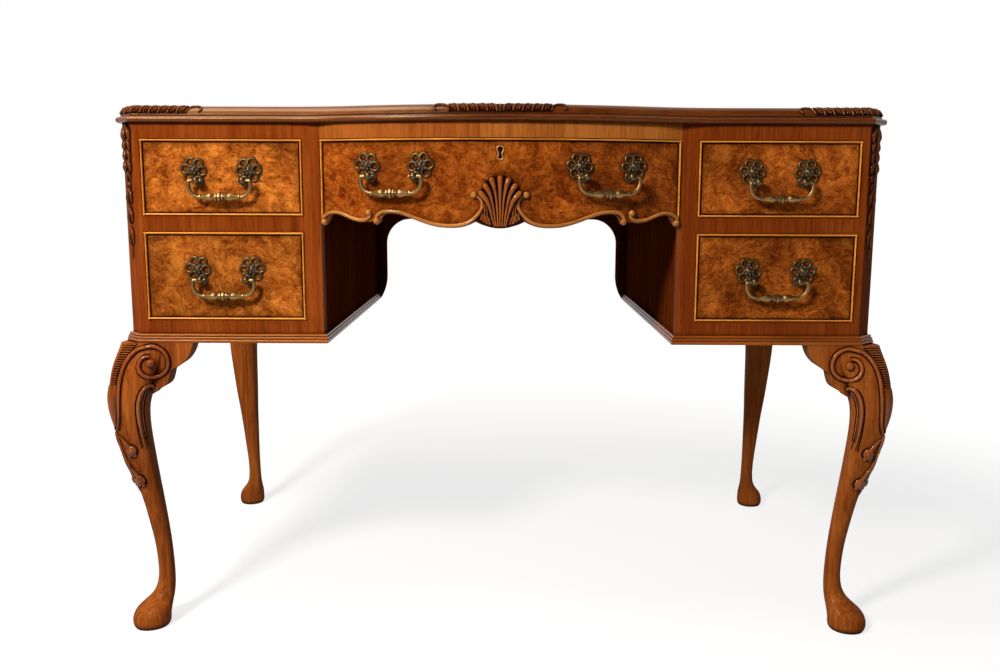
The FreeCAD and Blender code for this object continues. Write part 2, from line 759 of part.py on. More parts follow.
def lock_block():
    """Outside of the lock case, bedded in the back of the drawer front."""
    y0 = -bow_rise + centre_front_thickness - lock_bedding
    return box(-lock_width / 2, lock_width / 2, y0, y0 + lock_depth, centre_head - lock_height, centre_head)


def bolt_place():
    """Corners of the lock bolt, drawn back level with the lock's top."""
    middle = -bow_rise + centre_front_thickness - lock_bedding + lock_depth / 2
    return (-bolt_width / 2, bolt_width / 2, middle - bolt_depth / 2, middle + bolt_depth / 2,
            centre_head - bolt_length, centre_head)


def lock_case():
    """Case with the channel that guides the bolt."""
    x0, x1, y0, y1, z0, z1 = bolt_place()
    gap = bolt_clearance
    channel = box(x0 - gap, x1 + gap, y0 - gap, y1 + gap, z0 - gap, z1 + cut_overrun)
    return lock_block().cut(channel)


# Handles, drawn with the drawer face on y = 0 and the middle of the handle at the origin

def post_place(side):
    """Where a post stands, right or left of the handle's middle and below the rosettes."""
    return Vector(side * (rosette_span / 2 - post_inset), 0, rosette_rise - post_drop)


def rosette(side):
    """Pierced six-lobed plate with a domed middle; one lobe carries the post."""
    middle = Vector(side * rosette_span / 2, 0, rosette_rise)
    out = Vector(0, -1, 0)
    to_post = post_place(side) - middle
    heading = math.atan2(to_post.z, to_post.x)
    plate = Part.makeCylinder(rosette_hub_radius, rosette_thickness, middle, out)
    for index in range(rosette_lobes):
        turn = heading + 2 * math.pi * index / rosette_lobes
        reach = to_post.Length if index == 0 else rosette_lobe_reach
        lobe = middle + Vector(math.cos(turn), 0, math.sin(turn)) * reach
        plate = plate.fuse(Part.makeCylinder(rosette_lobe_radius, rosette_thickness, lobe, out))
    for index in range(1, rosette_lobes):
        turn = heading + 2 * math.pi * index / rosette_lobes
        lobe = middle + Vector(math.cos(turn), 0, math.sin(turn)) * rosette_lobe_reach
        pierce = Part.makeCylinder(rosette_pierce_radius, 2 * cut_overrun, lobe - out * cut_overrun, out)
        plate = plate.cut(pierce)
    dome = Part.makeCone(rosette_dome_radius, rosette_dome_radius * rosette_dome_top_share, rosette_dome_height,
                         middle + out * rosette_thickness, out)
    return plate.fuse(dome)


def post_seat(side):
    """The room a rosette leaves for its post: a bore for the shank and the collar's seat."""
    out = Vector(0, -1, 0)
    root = post_place(side)
    bore = Part.makeCylinder(post_shank_radius + post_hole_clearance, 2 * cut_overrun,
                             root - out * cut_overrun, out)
    return bore.fuse(Part.makeCylinder(post_collar_radius, cut_overrun, root + out * rosette_thickness, out))


def post(side, wall):
    """Post with a round head and an eye, its shank through the drawer front to a nut."""
    out = Vector(0, -1, 0)
    root = post_place(side)
    seat = root + out * rosette_thickness
    head = root + out * post_reach
    shank_start = root - out * (wall + nut_height + shank_spare)
    shank = Part.makeCylinder(post_shank_radius, (seat - shank_start).Length, shank_start, out)
    collar = Part.makeCylinder(post_collar_radius, post_collar_height, seat, out)
    neck = Part.makeCylinder(post_neck_radius, (head - seat).Length, seat, out)
    ball = Part.makeSphere(post_head_radius, head, Vector(1, 0, 0))
    eye = Part.makeCylinder(pin_radius + pin_clearance, 4 * post_head_radius,
                            head - Vector(2 * post_head_radius, 0, 0), Vector(1, 0, 0))
    solid = shank.fuse([collar, neck, ball]).cut(eye)
    step = 2 * math.pi / nut_sides
    corner = nut_width / 2 / math.cos(step / 2)
    ring = [(root.x + corner * math.cos(step * k), root.z + corner * math.sin(step * k))
            for k in range(nut_sides)]
    nut = upright_plate(ring, wall, wall + nut_height)
    return [solid, nut.cut(shank)]


def bail():
    """Swan-necked bail with a turned bar, its pins turned in through the posts' eyes."""
    post_x = post_place(1).x
    axis_z = post_place(1).z
    arm_x = post_x + post_head_radius + arm_gap + bail_radius
    bar_z = axis_z - bail_drop
    y = -post_reach
    bend = bail_elbow_radius
    bar_half = arm_x - bend
    turned = [(bar_half * along, bail_radius * radius) for along, radius in bar_turning_shares]
    profile = [(-bar_half, 0)] + [(-x, r) for x, r in reversed(turned)] + turned[1:] + [(bar_half, 0)]
    outline = outline_wire(lambda x, r: Vector(x, y, bar_z + r), profile)
    solid = Part.Face(outline).revolve(Vector(0, y, bar_z), Vector(1, 0, 0), 360)
    pin_length = arm_x - post_x + post_head_radius + pin_proud
    for side in (1, -1):
        elbow_centre = Vector(side * bar_half, y, bar_z + bend)
        circle = Part.makeCircle(bail_radius, Vector(side * bar_half, y, bar_z), Vector(1, 0, 0))
        elbow = Part.Face(Part.Wire(circle)).revolve(elbow_centre, Vector(0, -side, 0), 90)
        arm = Part.makeCylinder(bail_radius, bail_drop - bend, Vector(side * arm_x, y, bar_z + bend))
        knuckle = Part.makeSphere(bail_radius, Vector(side * arm_x, y, axis_z))
        pin = Part.makeCylinder(pin_radius, pin_length, Vector(side * arm_x, y, axis_z), Vector(-side, 0, 0))
        solid = solid.fuse([elbow, arm, knuckle, pin])
    return solid.removeSplitter()


def place_handle(shape, x, z, bowed):
    """Stand a handle piece on a drawer face at x, z."""
    if not bowed:
        return shape.translated(Vector(x, 0, z))
    post_x = post_place(1).x
    middle, heading = bow_point(x)
    sink = bow_radius - math.sqrt(bow_radius ** 2 - post_x ** 2)
    turned = shape.rotated(Vector(0, 0, 0), Vector(0, 0, 1), heading)
    turn = math.radians(heading)
    return turned.translated(middle + Vector(-math.sin(turn), math.cos(turn), 0) * sink + Vector(0, 0, z))


def place_rosette(side, x, z, bowed):
    """Seat one rosette on the drawer face, tangent to it where the face is bowed."""
    plate = rosette(side)
    if not bowed:
        return plate.translated(Vector(x, 0, z))
    away = side * rosette_span / 2
    lean = math.degrees(math.asin(away / bow_radius))
    fall = bow_radius * (1 - math.cos(math.radians(lean)))
    middle, heading = bow_point(x)
    turned = plate.rotated(Vector(away, 0, 0), Vector(0, 0, 1), lean).translated(Vector(0, fall, 0))
    turned = turned.rotated(Vector(0, 0, 0), Vector(0, 0, 1), heading)
    return turned.translated(middle + Vector(0, 0, z))


def handle(x, z, wall, bowed=False):
    """Rosettes, posts with nuts and bail of one handle."""
    posts = [place_handle(solid, x, z, bowed) for side in (1, -1) for solid in post(side, wall)]
    plates = [place_rosette(side, x, z, bowed).cut(place_handle(post_seat(side), x, z, bowed))
              for side in (1, -1)]
    return plates, posts, place_handle(bail(), x, z, bowed)


def bored(front, plates, posts):
    """Drill a drawer front for the post shanks."""
    for solid in posts + plates:
        front = front.cut(solid)
    return front


# Assembly

def carcass_nodes():
    nodes = {"top_board": top_board(), "top_moulding": top_moulding(), "kneehole_back_arch": arch_board(),
             "centre_top_rail": centre_top_rail(), "drawer_runners": drawer_runners()}
    pieces = {"outer_side": outer_side, "inner_side": inner_side, "back_panel": back_panel,
              "bottom_board": bottom_board, "front_frame": front_frame, "base_moulding": base_moulding,
              "front_leg": front_leg, "rear_leg": rear_leg, "knee_ears": knee_ears, "corner_drop": corner_drop}
    for name, make in pieces.items():
        shape = make()
        for side in ("left", "right"):
            nodes[side + "_" + name] = on_side(side, shape)
    return nodes


def pedestal_drawer_nodes():
    nodes = {}
    for level, sill, head in (("upper", upper_sill, upper_head), ("lower", lower_sill, lower_head)):
        front, beads, lining = flat_drawer(sill, head)
        plates, posts, swing = handle(drawer_middle, (sill + head) / 2, front_thickness)
        front = bored(front, plates, posts)
        shapes = {"drawer_front": front, "drawer_box": group(lining), "cock_bead": group(beads),
                  "rosettes": group(plates), "handle_posts": group(posts), "bail": swing}
        for side in ("left", "right"):
            for name, shape in shapes.items():
                nodes[side + "_" + level + "_" + name] = on_side(side, shape)
    return nodes


def centre_drawer_nodes():
    front, beads, lining = centre_drawer()
    shell = centre_shell()
    plates, posts, swing = handle(centre_handle_offset, upper_head - centre_handle_drop, centre_front_thickness,
                                  bowed=True)
    plates += [mirrored(plate) for plate in plates]
    posts += [mirrored(solid) for solid in posts]
    front = bored(front, plates, posts).cut(shell).cut(escutcheon_blank()).cut(lock_block())
    hole = keyhole(-bow_rise - cut_overrun, -bow_rise + centre_front_thickness + lock_depth / 2)
    trimmed_beads = [bead.cut([shell, lock_block()]) for bead in beads]
    return {"centre_drawer_front": front.cut(hole), "centre_drawer_box": group(lining),
            "centre_cock_bead": group(trimmed_beads), "centre_rosettes": group(plates),
            "centre_handle_posts": group(posts), "centre_right_bail": swing,
            "centre_left_bail": mirrored(swing),
            "centre_shell": shell, "keyhole_escutcheon": escutcheon_blank().cut(hole),
            "lock_case": lock_case().cut(hole), "lock_bolt": box(*bolt_place())}


def desk_nodes():
    nodes = carcass_nodes()
    nodes.update(pedestal_drawer_nodes())
    nodes.update(centre_drawer_nodes())
    return nodes


nodes = desk_nodes()
extent = group(list(nodes.values())).optimalBoundingBox(True, False)
footprint_shift = Vector(0, -(extent.YMin + extent.YMax) / 2, 0)
os.makedirs("parts", exist_ok=True)
for name, shape in nodes.items():
    shape.translated(footprint_shift).exportStep("parts/" + name + ".step")
print(len(nodes), "nodes, desk", round(extent.XLength, 1), "x", round(extent.YLength, 1), "x",
      round(extent.ZMax - extent.ZMin, 1), "mm")
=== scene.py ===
import math

import bpy
from bpy.props import FloatProperty, FloatVectorProperty, IntProperty, PointerProperty
from mathutils import Matrix, Vector
from mathutils.bvhtree import BVHTree


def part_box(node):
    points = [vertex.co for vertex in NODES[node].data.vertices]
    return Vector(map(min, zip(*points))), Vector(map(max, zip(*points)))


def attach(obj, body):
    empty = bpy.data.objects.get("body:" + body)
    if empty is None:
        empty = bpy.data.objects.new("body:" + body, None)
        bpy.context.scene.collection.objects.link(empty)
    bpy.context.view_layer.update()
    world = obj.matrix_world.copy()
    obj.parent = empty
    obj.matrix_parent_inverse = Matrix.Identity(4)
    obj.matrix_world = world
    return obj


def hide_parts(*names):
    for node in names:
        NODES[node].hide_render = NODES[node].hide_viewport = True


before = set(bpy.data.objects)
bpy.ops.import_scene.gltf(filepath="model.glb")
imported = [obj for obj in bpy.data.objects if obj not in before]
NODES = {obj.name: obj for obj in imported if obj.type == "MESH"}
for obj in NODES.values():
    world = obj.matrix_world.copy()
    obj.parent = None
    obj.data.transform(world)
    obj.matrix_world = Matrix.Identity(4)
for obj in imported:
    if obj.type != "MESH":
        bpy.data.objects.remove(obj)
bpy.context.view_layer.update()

bl_info = {
    "name": "Kneehole desk",
    "version": (1, 0, 0),
    "blender": (4, 5, 0),
    "location": "View3D > Sidebar > Desk",
    "description": "Carving, brasses, veneers and stage for a walnut kneehole desk",
    "category": "Object",
}

SIDES = (("left", -1), ("right", 1))
LEVELS = ("upper", "lower")

# Planes and curves read from the frame, in metres
FRONT_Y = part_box("left_front_frame")[0].y
BOW_APEX_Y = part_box("centre_top_rail")[0].y
KNEEHOLE_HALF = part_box("centre_top_rail")[1].x
BOW_RISE = FRONT_Y - BOW_APEX_Y
BOW_RADIUS = (KNEEHOLE_HALF ** 2 + BOW_RISE ** 2) / (2 * BOW_RISE)
BOW_CENTRE_Y = BOW_APEX_Y + BOW_RADIUS
TOP_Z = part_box("top_board")[1].z
CARCASS_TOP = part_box("top_board")[0].z
CARCASS_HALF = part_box("right_outer_side")[1].x
SHELL_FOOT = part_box("centre_shell")[0].z
DRAWER_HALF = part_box("centre_drawer_front")[1].x
DRAWER_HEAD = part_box("centre_drawer_front")[1].z
MM = 0.001
DIAGONAL = math.sqrt(0.5)

# What the cant at a front corner takes off either face, and the ways along the right cant and out from it
CORNER_CANT = 21 * MM
CANT_WAY = Vector((DIAGONAL, DIAGONAL, 0))
CANT_OUT = Vector((DIAGONAL, -DIAGONAL, 0))

# Scrolled lower edge of the centre drawer: millimetres from its middle and up from the shell's foot
END_SCROLL = ((249.5, 6.5), (252, 10.5), (247.6, 17), (236.8, 21.3), (223.2, 19.4), (208.4, 12.5),
              (193.7, 9.2), (184.9, 11.4), (180.4, 17), (183.2, 20.5))
MAIN_SCROLL = ((171.8, 8.8), (173.2, 14.3), (165.8, 21.3), (155.7, 22.8), (138.6, 21.6), (121.7, 15.5),
               (103.5, 8.8), (85.4, 4.2), (68.8, 3), (52.2, 4.4), (41.2, 8.6), (30.2, 18.2), (23.4, 29.1),
               (24.7, 38.5), (30.2, 43.9), (35.7, 45.2))

# Right half of the shell: its plate's edge and its ribs, millimetres from the middle and up from its foot
SHELL_EDGE = ((0, 0.6), (12, 1.8), (22, 5.5), (31, 11.5), (25.5, 18), (21, 28), (21.5, 37), (27, 45),
              (25, 51), (18.5, 59), (10, 66), (0, 69))
SHELL_RIBS = (((0, 3), (0, 30), (0, 50), (0, 61), (0, 67.5)),
              ((2.6, 3), (4.2, 35), (7, 52), (9.2, 60), (11, 64.8)),
              ((5.2, 3), (9, 28), (12.4, 43), (16, 52), (19.4, 57)),
              ((7.6, 3), (11.6, 20), (15.4, 33), (19.4, 41), (25.2, 47)))
SHELL_RIB_RADII = (1.1, 1.8, 2.9, 3.9, 4.3)
SHELL_FLANKS = (((12.5, 5), (17, 14), (17.5, 24), (19, 33)), ((17, 6), (21, 14), (20.5, 24), (21.5, 33)))
SHELL_HATCH = ((14, 6), (18, 7.5), (22.5, 10), (27, 13.5))

# Knee carving on a front leg: millimetres in from the pedestal's outer side and up from the floor
VOLUTE_MIDDLE = (36.5, 410)
KNEE_RISE = ((-15.5, 312), (-11, 324), (-10, 352), (-8, 380), (-3, 403), (5.5, 419), (17, 430))
KNEE_HOLLOW = ((36, 373.5), (34, 378), (28.8, 376.8), (22, 368), (17.3, 352), (16.6, 333), (17.8, 313),
               (19.5, 297), (21, 284))
KNEE_SPRIGS = (((-13, 303), (-8, 297), (-3, 291), (2.5, 282)), ((-7, 258), (-3, 252), (2, 245), (8, 233)))
SPRIG_RADII = (1.4, 2.4, 3.2, 4.2)
# Balls at a sprig's head: aside, down, radius and lift
SPRIG_BALLS = ((0, 1, 8, 0.2), (1, 0.4, 3.4, 4.6), (3.6, 8, 3.6, 0.8), (-3, 8.6, 3.6, 0.8))
# Down the ridge: height and radius
KNEE_PANEL = ((378, 5.5), (366, 7.4), (350, 7.6), (336, 6.8), (322, 5.4), (311, 4.2))
KNEE_STEM = ((309, 2.2), (298, 3.6), (284, 1.8), (268, 3.2), (254, 3.6), (240, 1.6), (226, 3), (212, 0.8))

# Corner drop: where each husk starts and ends below the carcass top, and its half width, in millimetres
DROP_HUSKS = ((3, 26, 12), (21, 39, 11), (34, 54, 10.5), (50, 69, 11), (66, 81, 7.5), (81, 92, 6),
              (90, 114, 8.5), (118, 141, 8), (147, 173, 7.5), (171, 191, 3.4))


class DeskFinish(bpy.types.PropertyGroup):
    """Colours of the woods and brasses."""
    walnut: FloatVectorProperty(
        name="Walnut", description="Main colour of the legs, sides and carving", subtype="COLOR",
        default=(0.285, 0.068, 0.01), min=0, max=1)
    crossband: FloatVectorProperty(
        name="Crossband", description="Main colour of the veneer round the drawers", subtype="COLOR",
        default=(0.205, 0.038, 0.0046), min=0, max=1)
    moulding: FloatVectorProperty(
        name="Mouldings", description="Main colour of the top's edge", subtype="COLOR",
        default=(0.11, 0.024, 0.0035), min=0, max=1)
    base: FloatVectorProperty(
        name="Base", description="Main colour of the base mouldings", subtype="COLOR",
        default=(0.27, 0.062, 0.009), min=0, max=1)
    frieze: FloatVectorProperty(
        name="Frieze", description="Main colour of the pale veneer over the centre drawer", subtype="COLOR",
        default=(0.42, 0.13, 0.022), min=0, max=1)
    # The ground colour is near-black painted shade, put on the pieces in the carving's gaps and hollows and
    # in the keyhole
    ground: FloatVectorProperty(
        name="Ground", description="Dark-stained ground of the carving", subtype="COLOR",
        default=(0.022, 0.0035, 0.001), min=0, max=1)
    # The kneehole colour is darker than the front's wood: partly a darker stain, partly painted shade of the
    # kneehole
    kneehole: FloatVectorProperty(
        name="Kneehole", description="Main colour of the boards inside the kneehole", subtype="COLOR",
        default=(0.11, 0.02, 0.0025), min=0, max=1)
    shine: FloatVectorProperty(
        name="Shine", description="Amber cast of the polish on beads and mouldings", subtype="COLOR",
        default=(1, 0.66, 0.3), min=0, max=1)
    burr: FloatVectorProperty(
        name="Burr", description="Main colour of the burr veneer", subtype="COLOR",
        default=(0.355, 0.09, 0.011), min=0, max=1)
    centre_burr: FloatVectorProperty(
        name="Centre burr", description="Main colour of the redder burr on the centre drawer",
        subtype="COLOR", default=(0.285, 0.06, 0.0062), min=0, max=1)
    bead: FloatVectorProperty(
        name="Bead", description="Golden cock bead", subtype="COLOR",
        default=(0.76, 0.26, 0.032), min=0, max=1)
    scroll: FloatVectorProperty(
        name="Scroll", description="Scrolled bead under the centre drawer", subtype="COLOR",
        default=(0.39, 0.132, 0.024), min=0, max=1)
    oak: FloatVectorProperty(
        name="Oak", description="Drawer linings", subtype="COLOR", default=(0.37, 0.22, 0.105), min=0, max=1)
    brass: FloatVectorProperty(
        name="Brass", description="Rubbed faces of the aged brass", subtype="COLOR",
        default=(0.25, 0.145, 0.052), min=0, max=1)
    patina: FloatVectorProperty(
        name="Patina", description="Hollows of the aged brass", subtype="COLOR",
        default=(0.02, 0.012, 0.006), min=0, max=1)


class DeskStage(bpy.types.PropertyGroup):
    """Camera, floor and lamps."""
    camera_place: FloatVectorProperty(
        name="Camera place", description="Where the camera stands", subtype="TRANSLATION", unit="LENGTH",
        default=(0.00595, -1.35309 + FRONT_Y, 0.6558))
    camera_pitch: FloatProperty(
        name="Camera pitch", description="How far the camera looks down", subtype="ANGLE",
        default=math.radians(8.65))
    camera_yaw: FloatProperty(
        name="Camera yaw", description="How far the camera looks to the right", subtype="ANGLE",
        default=math.radians(-0.24))
    camera_roll: FloatProperty(
        name="Camera roll", description="Turn of the camera about its own line of sight", subtype="ANGLE",
        default=math.radians(0.2))
    camera_lens: FloatProperty(
        name="Lens", description="Focal length for a 36 mm wide frame", default=33.957, min=1, unit="CAMERA")
    key_power: FloatProperty(
        name="Key", description="Power of the lamp at the front left", default=51, min=0, unit="POWER")
    ceiling_power: FloatProperty(
        name="Ceiling", description="Power of the lamp over the front left", default=22, min=0, unit="POWER")
    fill_power: FloatProperty(
        name="Fill", description="Power of the lamp at the front right", default=4, min=0, unit="POWER")
    rim_power: FloatProperty(
        name="Rim", description="Power of the lamp behind the desk", default=10, min=0, unit="POWER")
    room_light: FloatProperty(
        name="Room", description="Even light from all round", default=0.1, min=0, max=1)
    floor_colour: FloatVectorProperty(
        name="Floor", description="Pale floor under the desk", subtype="COLOR",
        default=(0.34, 0.34, 0.34), min=0, max=1)
    floor_glow: FloatProperty(
        name="Floor white", description="Share of white that the floor shows near the desk",
        default=0.76, min=0, max=1)


class DeskCarving(bpy.types.PropertyGroup):
    """Sizes of the carving and the brasses."""
    scroll_bead: FloatProperty(
        name="Scroll bead", description="Radius of the scrolled bead under the centre drawer",
        default=2.8 * MM, unit="LENGTH")
    scroll_ball: FloatProperty(
        name="Scroll ball", description="Radius of the balls at the scrolls' ends",
        default=5 * MM, unit="LENGTH")
    knee_bead: FloatProperty(
        name="Knee bead", description="Radius of the bead round the knee's volute",
        default=2.9 * MM, unit="LENGTH")
    knee_ribs: IntProperty(
        name="Knee ribs", description="Ribs across each knee's ridge", default=18, min=2)
    volute_radius: FloatProperty(
        name="Volute", description="Outer radius of the knee's volute", default=24 * MM, unit="LENGTH")
    volute_eye: FloatProperty(
        name="Volute eye", description="Radius of the ball in the volute", default=6 * MM, unit="LENGTH")
    leaf_pitch: FloatProperty(
        name="Leaf pitch", description="Spacing of the leaves along the top's edge",
        default=13 * MM, unit="LENGTH")
    loop_radius: FloatProperty(
        name="Loop", description="Radius of a handle flower's ring loops", default=5.9 * MM, unit="LENGTH")
    loop_wire: FloatProperty(
        name="Loop wire", description="Radius of the wire of those loops", default=1.75 * MM, unit="LENGTH")


# Node trees

def add(tree, kind, inputs=None, **settings):
    """A shader node with its settings, and its inputs set to values or joined to sockets."""
    node = tree.nodes.new(kind)
    for name, value in settings.items():
        setattr(node, name, value)
    for key, value in (inputs or {}).items():
        if isinstance(value, bpy.types.NodeSocket):
            tree.links.new(value, node.inputs[key])
        else:
            node.inputs[key].default_value = value
    return node


def new_material(name):
    """An empty node material, its output and its main shader."""
    material = bpy.data.materials.new(name)
    material.use_nodes = True
    tree = material.node_tree
    tree.nodes.clear()
    shader = add(tree, "ShaderNodeBsdfPrincipled")
    add(tree, "ShaderNodeOutputMaterial", {"Surface": shader.outputs[0]})
    return material, tree, shader


def math_node(tree, operation, first, second=0.0):
    return add(tree, "ShaderNodeMath", {0: first, 1: second}, operation=operation).outputs[0]


def weighted(tree, *shares):
    """The sum of some values, each times its share."""
    parts = [math_node(tree, "MULTIPLY", value, share) for value, share in shares]
    total = parts[0]
    for part in parts[1:]:
        total = math_node(tree, "ADD", total, part)
    return total


def blend_colours(tree, factor, first, second, blend="MIX"):
    node = add(tree, "ShaderNodeMix", {0: factor, 6: first, 7: second}, data_type="RGBA", blend_type=blend)
    return node.outputs[2]


def ramp(tree, factor, stops):
    """A colour ramp; each stop is (place, colour or grey)."""
    node = add(tree, "ShaderNodeValToRGB", {"Fac": factor})
    elements = node.color_ramp.elements
    while len(elements) < len(stops):
        elements.new(0.5)
    for element, (place, colour) in zip(elements, stops):
        element.position = place
        element.color = (*colour, 1) if hasattr(colour, "__len__") else (colour, colour, colour, 1)
    return node.outputs["Color"]


def noise(tree, vector, scale, detail=4.0, roughness=0.55, distortion=0.0):
    return add(tree, "ShaderNodeTexNoise", {"Vector": vector, "Scale": scale, "Detail": detail,
                                            "Roughness": roughness, "Distortion": distortion})


def stretched(tree, scale, turn=(0, 0, 0)):
    """Object coordinates, squeezed along the grain and turned."""
    place = add(tree, "ShaderNodeTexCoord").outputs["Object"]
    return add(tree, "ShaderNodeMapping", {"Vector": place, "Scale": scale, "Rotation": turn}).outputs[0]


def shaded(tree, colour, reach, depth):
    """Darkens the hollows of a piece by ambient occlusion: painted shade where little light reaches."""
    hollow = add(tree, "ShaderNodeAmbientOcclusion", {"Distance": reach}, samples=6).outputs["AO"]
    shade = ramp(tree, hollow, ((0.35, depth), (0.7, 0.45 + 0.55 * depth), (0.97, 1.0)))
    return blend_colours(tree, 1.0, colour, shade, "MULTIPLY")


GRAIN = {"X": (0.035, 1, 1), "Y": (1, 0.035, 1), "Z": (1, 1, 0.035)}
SHINE_LEVEL = 0.3
# Leaves against the walnut, and flowers and keyhole rim against the brass
LEAF_TONE, FLOWER_TONE, RIM_TONE = 0.42, 0.48, 2.2
# Crossband round the top, and the dark string along it, in metres
BAND_WIDTH, STRING_HALF = 0.055, 0.0012


def shades(colour, deep, pale):
    """A wood's dark, main and light colours; its dark ones are redder and its light ones more golden."""
    red, green, blue = colour
    dark = (red * deep, green * deep ** 1.3, blue * deep ** 1.4)
    light = (min(1, red * pale), min(1, green * pale ** 1.45), min(1, blue * pale ** 1.7))
    return dark, (red, green, blue), light


def polish(tree, shader, gloss, coat, height, strength, shine=None):
    """Waxed polish over the grain: its shine is in a thin coat, and on some pieces also amber under that."""
    tree.links.new(gloss, shader.inputs["Roughness"])
    bump = add(tree, "ShaderNodeBump", {"Strength": strength, "Distance": 0.0004, "Height": height})
    tree.links.new(bump.outputs[0], shader.inputs["Normal"])
    shader.inputs["Specular IOR Level"].default_value = SHINE_LEVEL if shine else 0.0
    if shine:
        shader.inputs["Specular Tint"].default_value = (*shine, 1)
    shader.inputs["Coat Weight"].default_value = coat
    shader.inputs["Coat Roughness"].default_value = max(0.1, 0.26 - 0.25 * coat)


def gloss_of(tree, value, low, high):
    """Roughness that follows a pattern."""
    return add(tree, "ShaderNodeMapRange", {"Value": value, "To Min": low, "To Max": high}).outputs[0]


def facing(tree, axis):
    """How far a surface faces along one axis."""
    normal = add(tree, "ShaderNodeNewGeometry").outputs["True Normal"]
    return add(tree, "ShaderNodeSeparateXYZ", {0: normal}).outputs[axis]


def walnut(name, colours, grain="Z", shade_reach=0.006, shade_depth=0.25, roughness=0.34, coat=0.05,
           shine=None, joint=None):
    """Straight-grained wood: streaks, pores, painted shade in its hollows and polish. It may be laid in two
    leaves with a joint.
    """
    material, tree, shader = new_material(name)
    deep, mid, pale = colours
    lengthways = stretched(tree, GRAIN[grain])
    streak = noise(tree, lengthways, 240, 7, 0.62, 0.4).outputs[0]
    broad = noise(tree, lengthways, 38, 3, 0.5, 0.8).outputs[0]
    cloud = noise(tree, stretched(tree, (1, 1, 1)), 7, 3, 0.5).outputs[0]
    figure = weighted(tree, (streak, 0.4), (broad, 0.32), (cloud, 0.28))
    colour = ramp(tree, figure, ((0.34, deep), (0.48, mid), (0.63, pale)))
    if joint is not None:
        place = add(tree, "ShaderNodeTexCoord").outputs["Object"]
        along = add(tree, "ShaderNodeSeparateXYZ", {0: place}).outputs["X"]
        left_leaf = math_node(tree, "LESS_THAN", along, joint)
        colour = blend_colours(tree, left_leaf, colour, (0.74, 0.6, 0.55, 1), "MULTIPLY")
    pores = noise(tree, lengthways, 1100, 2, 0.5).outputs[0]
    colour = blend_colours(tree, 1.0, colour, ramp(tree, pores, ((0.6, 1.0), (0.7, 0.5))), "MULTIPLY")
    # Painted shade: the hollows darkened by ambient occlusion
    colour = shaded(tree, colour, shade_reach, shade_depth)
    tree.links.new(colour, shader.inputs["Base Color"])
    gloss = gloss_of(tree, broad, roughness - 0.06, roughness + 0.08)
    polish(tree, shader, gloss, coat, math_node(tree, "SUBTRACT", streak, pores), 0.12, shine)
    return material


def edge_gap(tree, node_name, edges):
    """How far a place on a panel is from the nearest of some of its edges, such as "x-" or "z+"."""
    place = add(tree, "ShaderNodeTexCoord").outputs["Object"]
    parts = add(tree, "ShaderNodeSeparateXYZ", {0: place}).outputs
    corners = [vertex.co for vertex in NODES[node_name].data.vertices]
    gap = 1.0
    for edge in edges:
        axis = "xyz".index(edge[0])
        values = [corner[axis] for corner in corners]
        if edge[1] == "-":
            reach = math_node(tree, "SUBTRACT", parts[axis], min(values))
        else:
            reach = math_node(tree, "SUBTRACT", max(values), parts[axis])
        gap = math_node(tree, "MINIMUM", reach, gap)
    return gap


def burr_figure(tree, colours, flat):
    """Colour and curl of burr veneer: clouds, dark veins, curls and clusters of small eyes."""
    deep, mid, pale = colours
    warp = noise(tree, flat, 11, 3, 0.5).outputs[1]
    warp = add(tree, "ShaderNodeVectorMath", {0: warp, 1: (0.5, 0.5, 0.5)}, operation="SUBTRACT").outputs[0]
    warp = add(tree, "ShaderNodeVectorMath", {0: warp, "Scale": 0.07}, operation="SCALE").outputs[0]
    warped = add(tree, "ShaderNodeVectorMath", {0: flat, 1: warp}, operation="ADD").outputs[0]
    cloud = noise(tree, warped, 28, 7, 0.62, 1.0).outputs[0]
    curl = noise(tree, warped, 280, 6, 0.68, 1.6).outputs[0]
    fibre_place = add(tree, "ShaderNodeMapping", {"Vector": warped, "Scale": (0.6, 1, 1)}).outputs[0]
    fibre = noise(tree, fibre_place, 125, 6, 0.64, 1.2).outputs[0]
    figure = weighted(tree, (cloud, 0.34), (curl, 0.34), (fibre, 0.32))
    between = tuple((a + b) / 2 for a, b in zip(deep, mid))
    colour = ramp(tree, figure, ((0.4, deep), (0.455, between), (0.505, mid), (0.575, pale)))
    brown = ramp(tree, noise(tree, flat, 8, 3, 0.6, 0.8).outputs[0], ((0.36, 0.66), (0.58, 1.15)))
    colour = blend_colours(tree, 1.0, colour, brown, "MULTIPLY")
    eyes = add(tree, "ShaderNodeTexVoronoi", {"Vector": warped, "Scale": 120, "Randomness": 1})
    patch = noise(tree, flat, 19, 3, 0.6).outputs[0]
    eye_shade = ramp(tree, eyes.outputs["Distance"], ((0.1, 0.32), (0.3, 1.0)))
    eye_shade = blend_colours(tree, ramp(tree, patch, ((0.5, 0.0), (0.58, 1.0))), (1, 1, 1, 1), eye_shade)
    return blend_colours(tree, 1.0, colour, eye_shade, "MULTIPLY"), curl


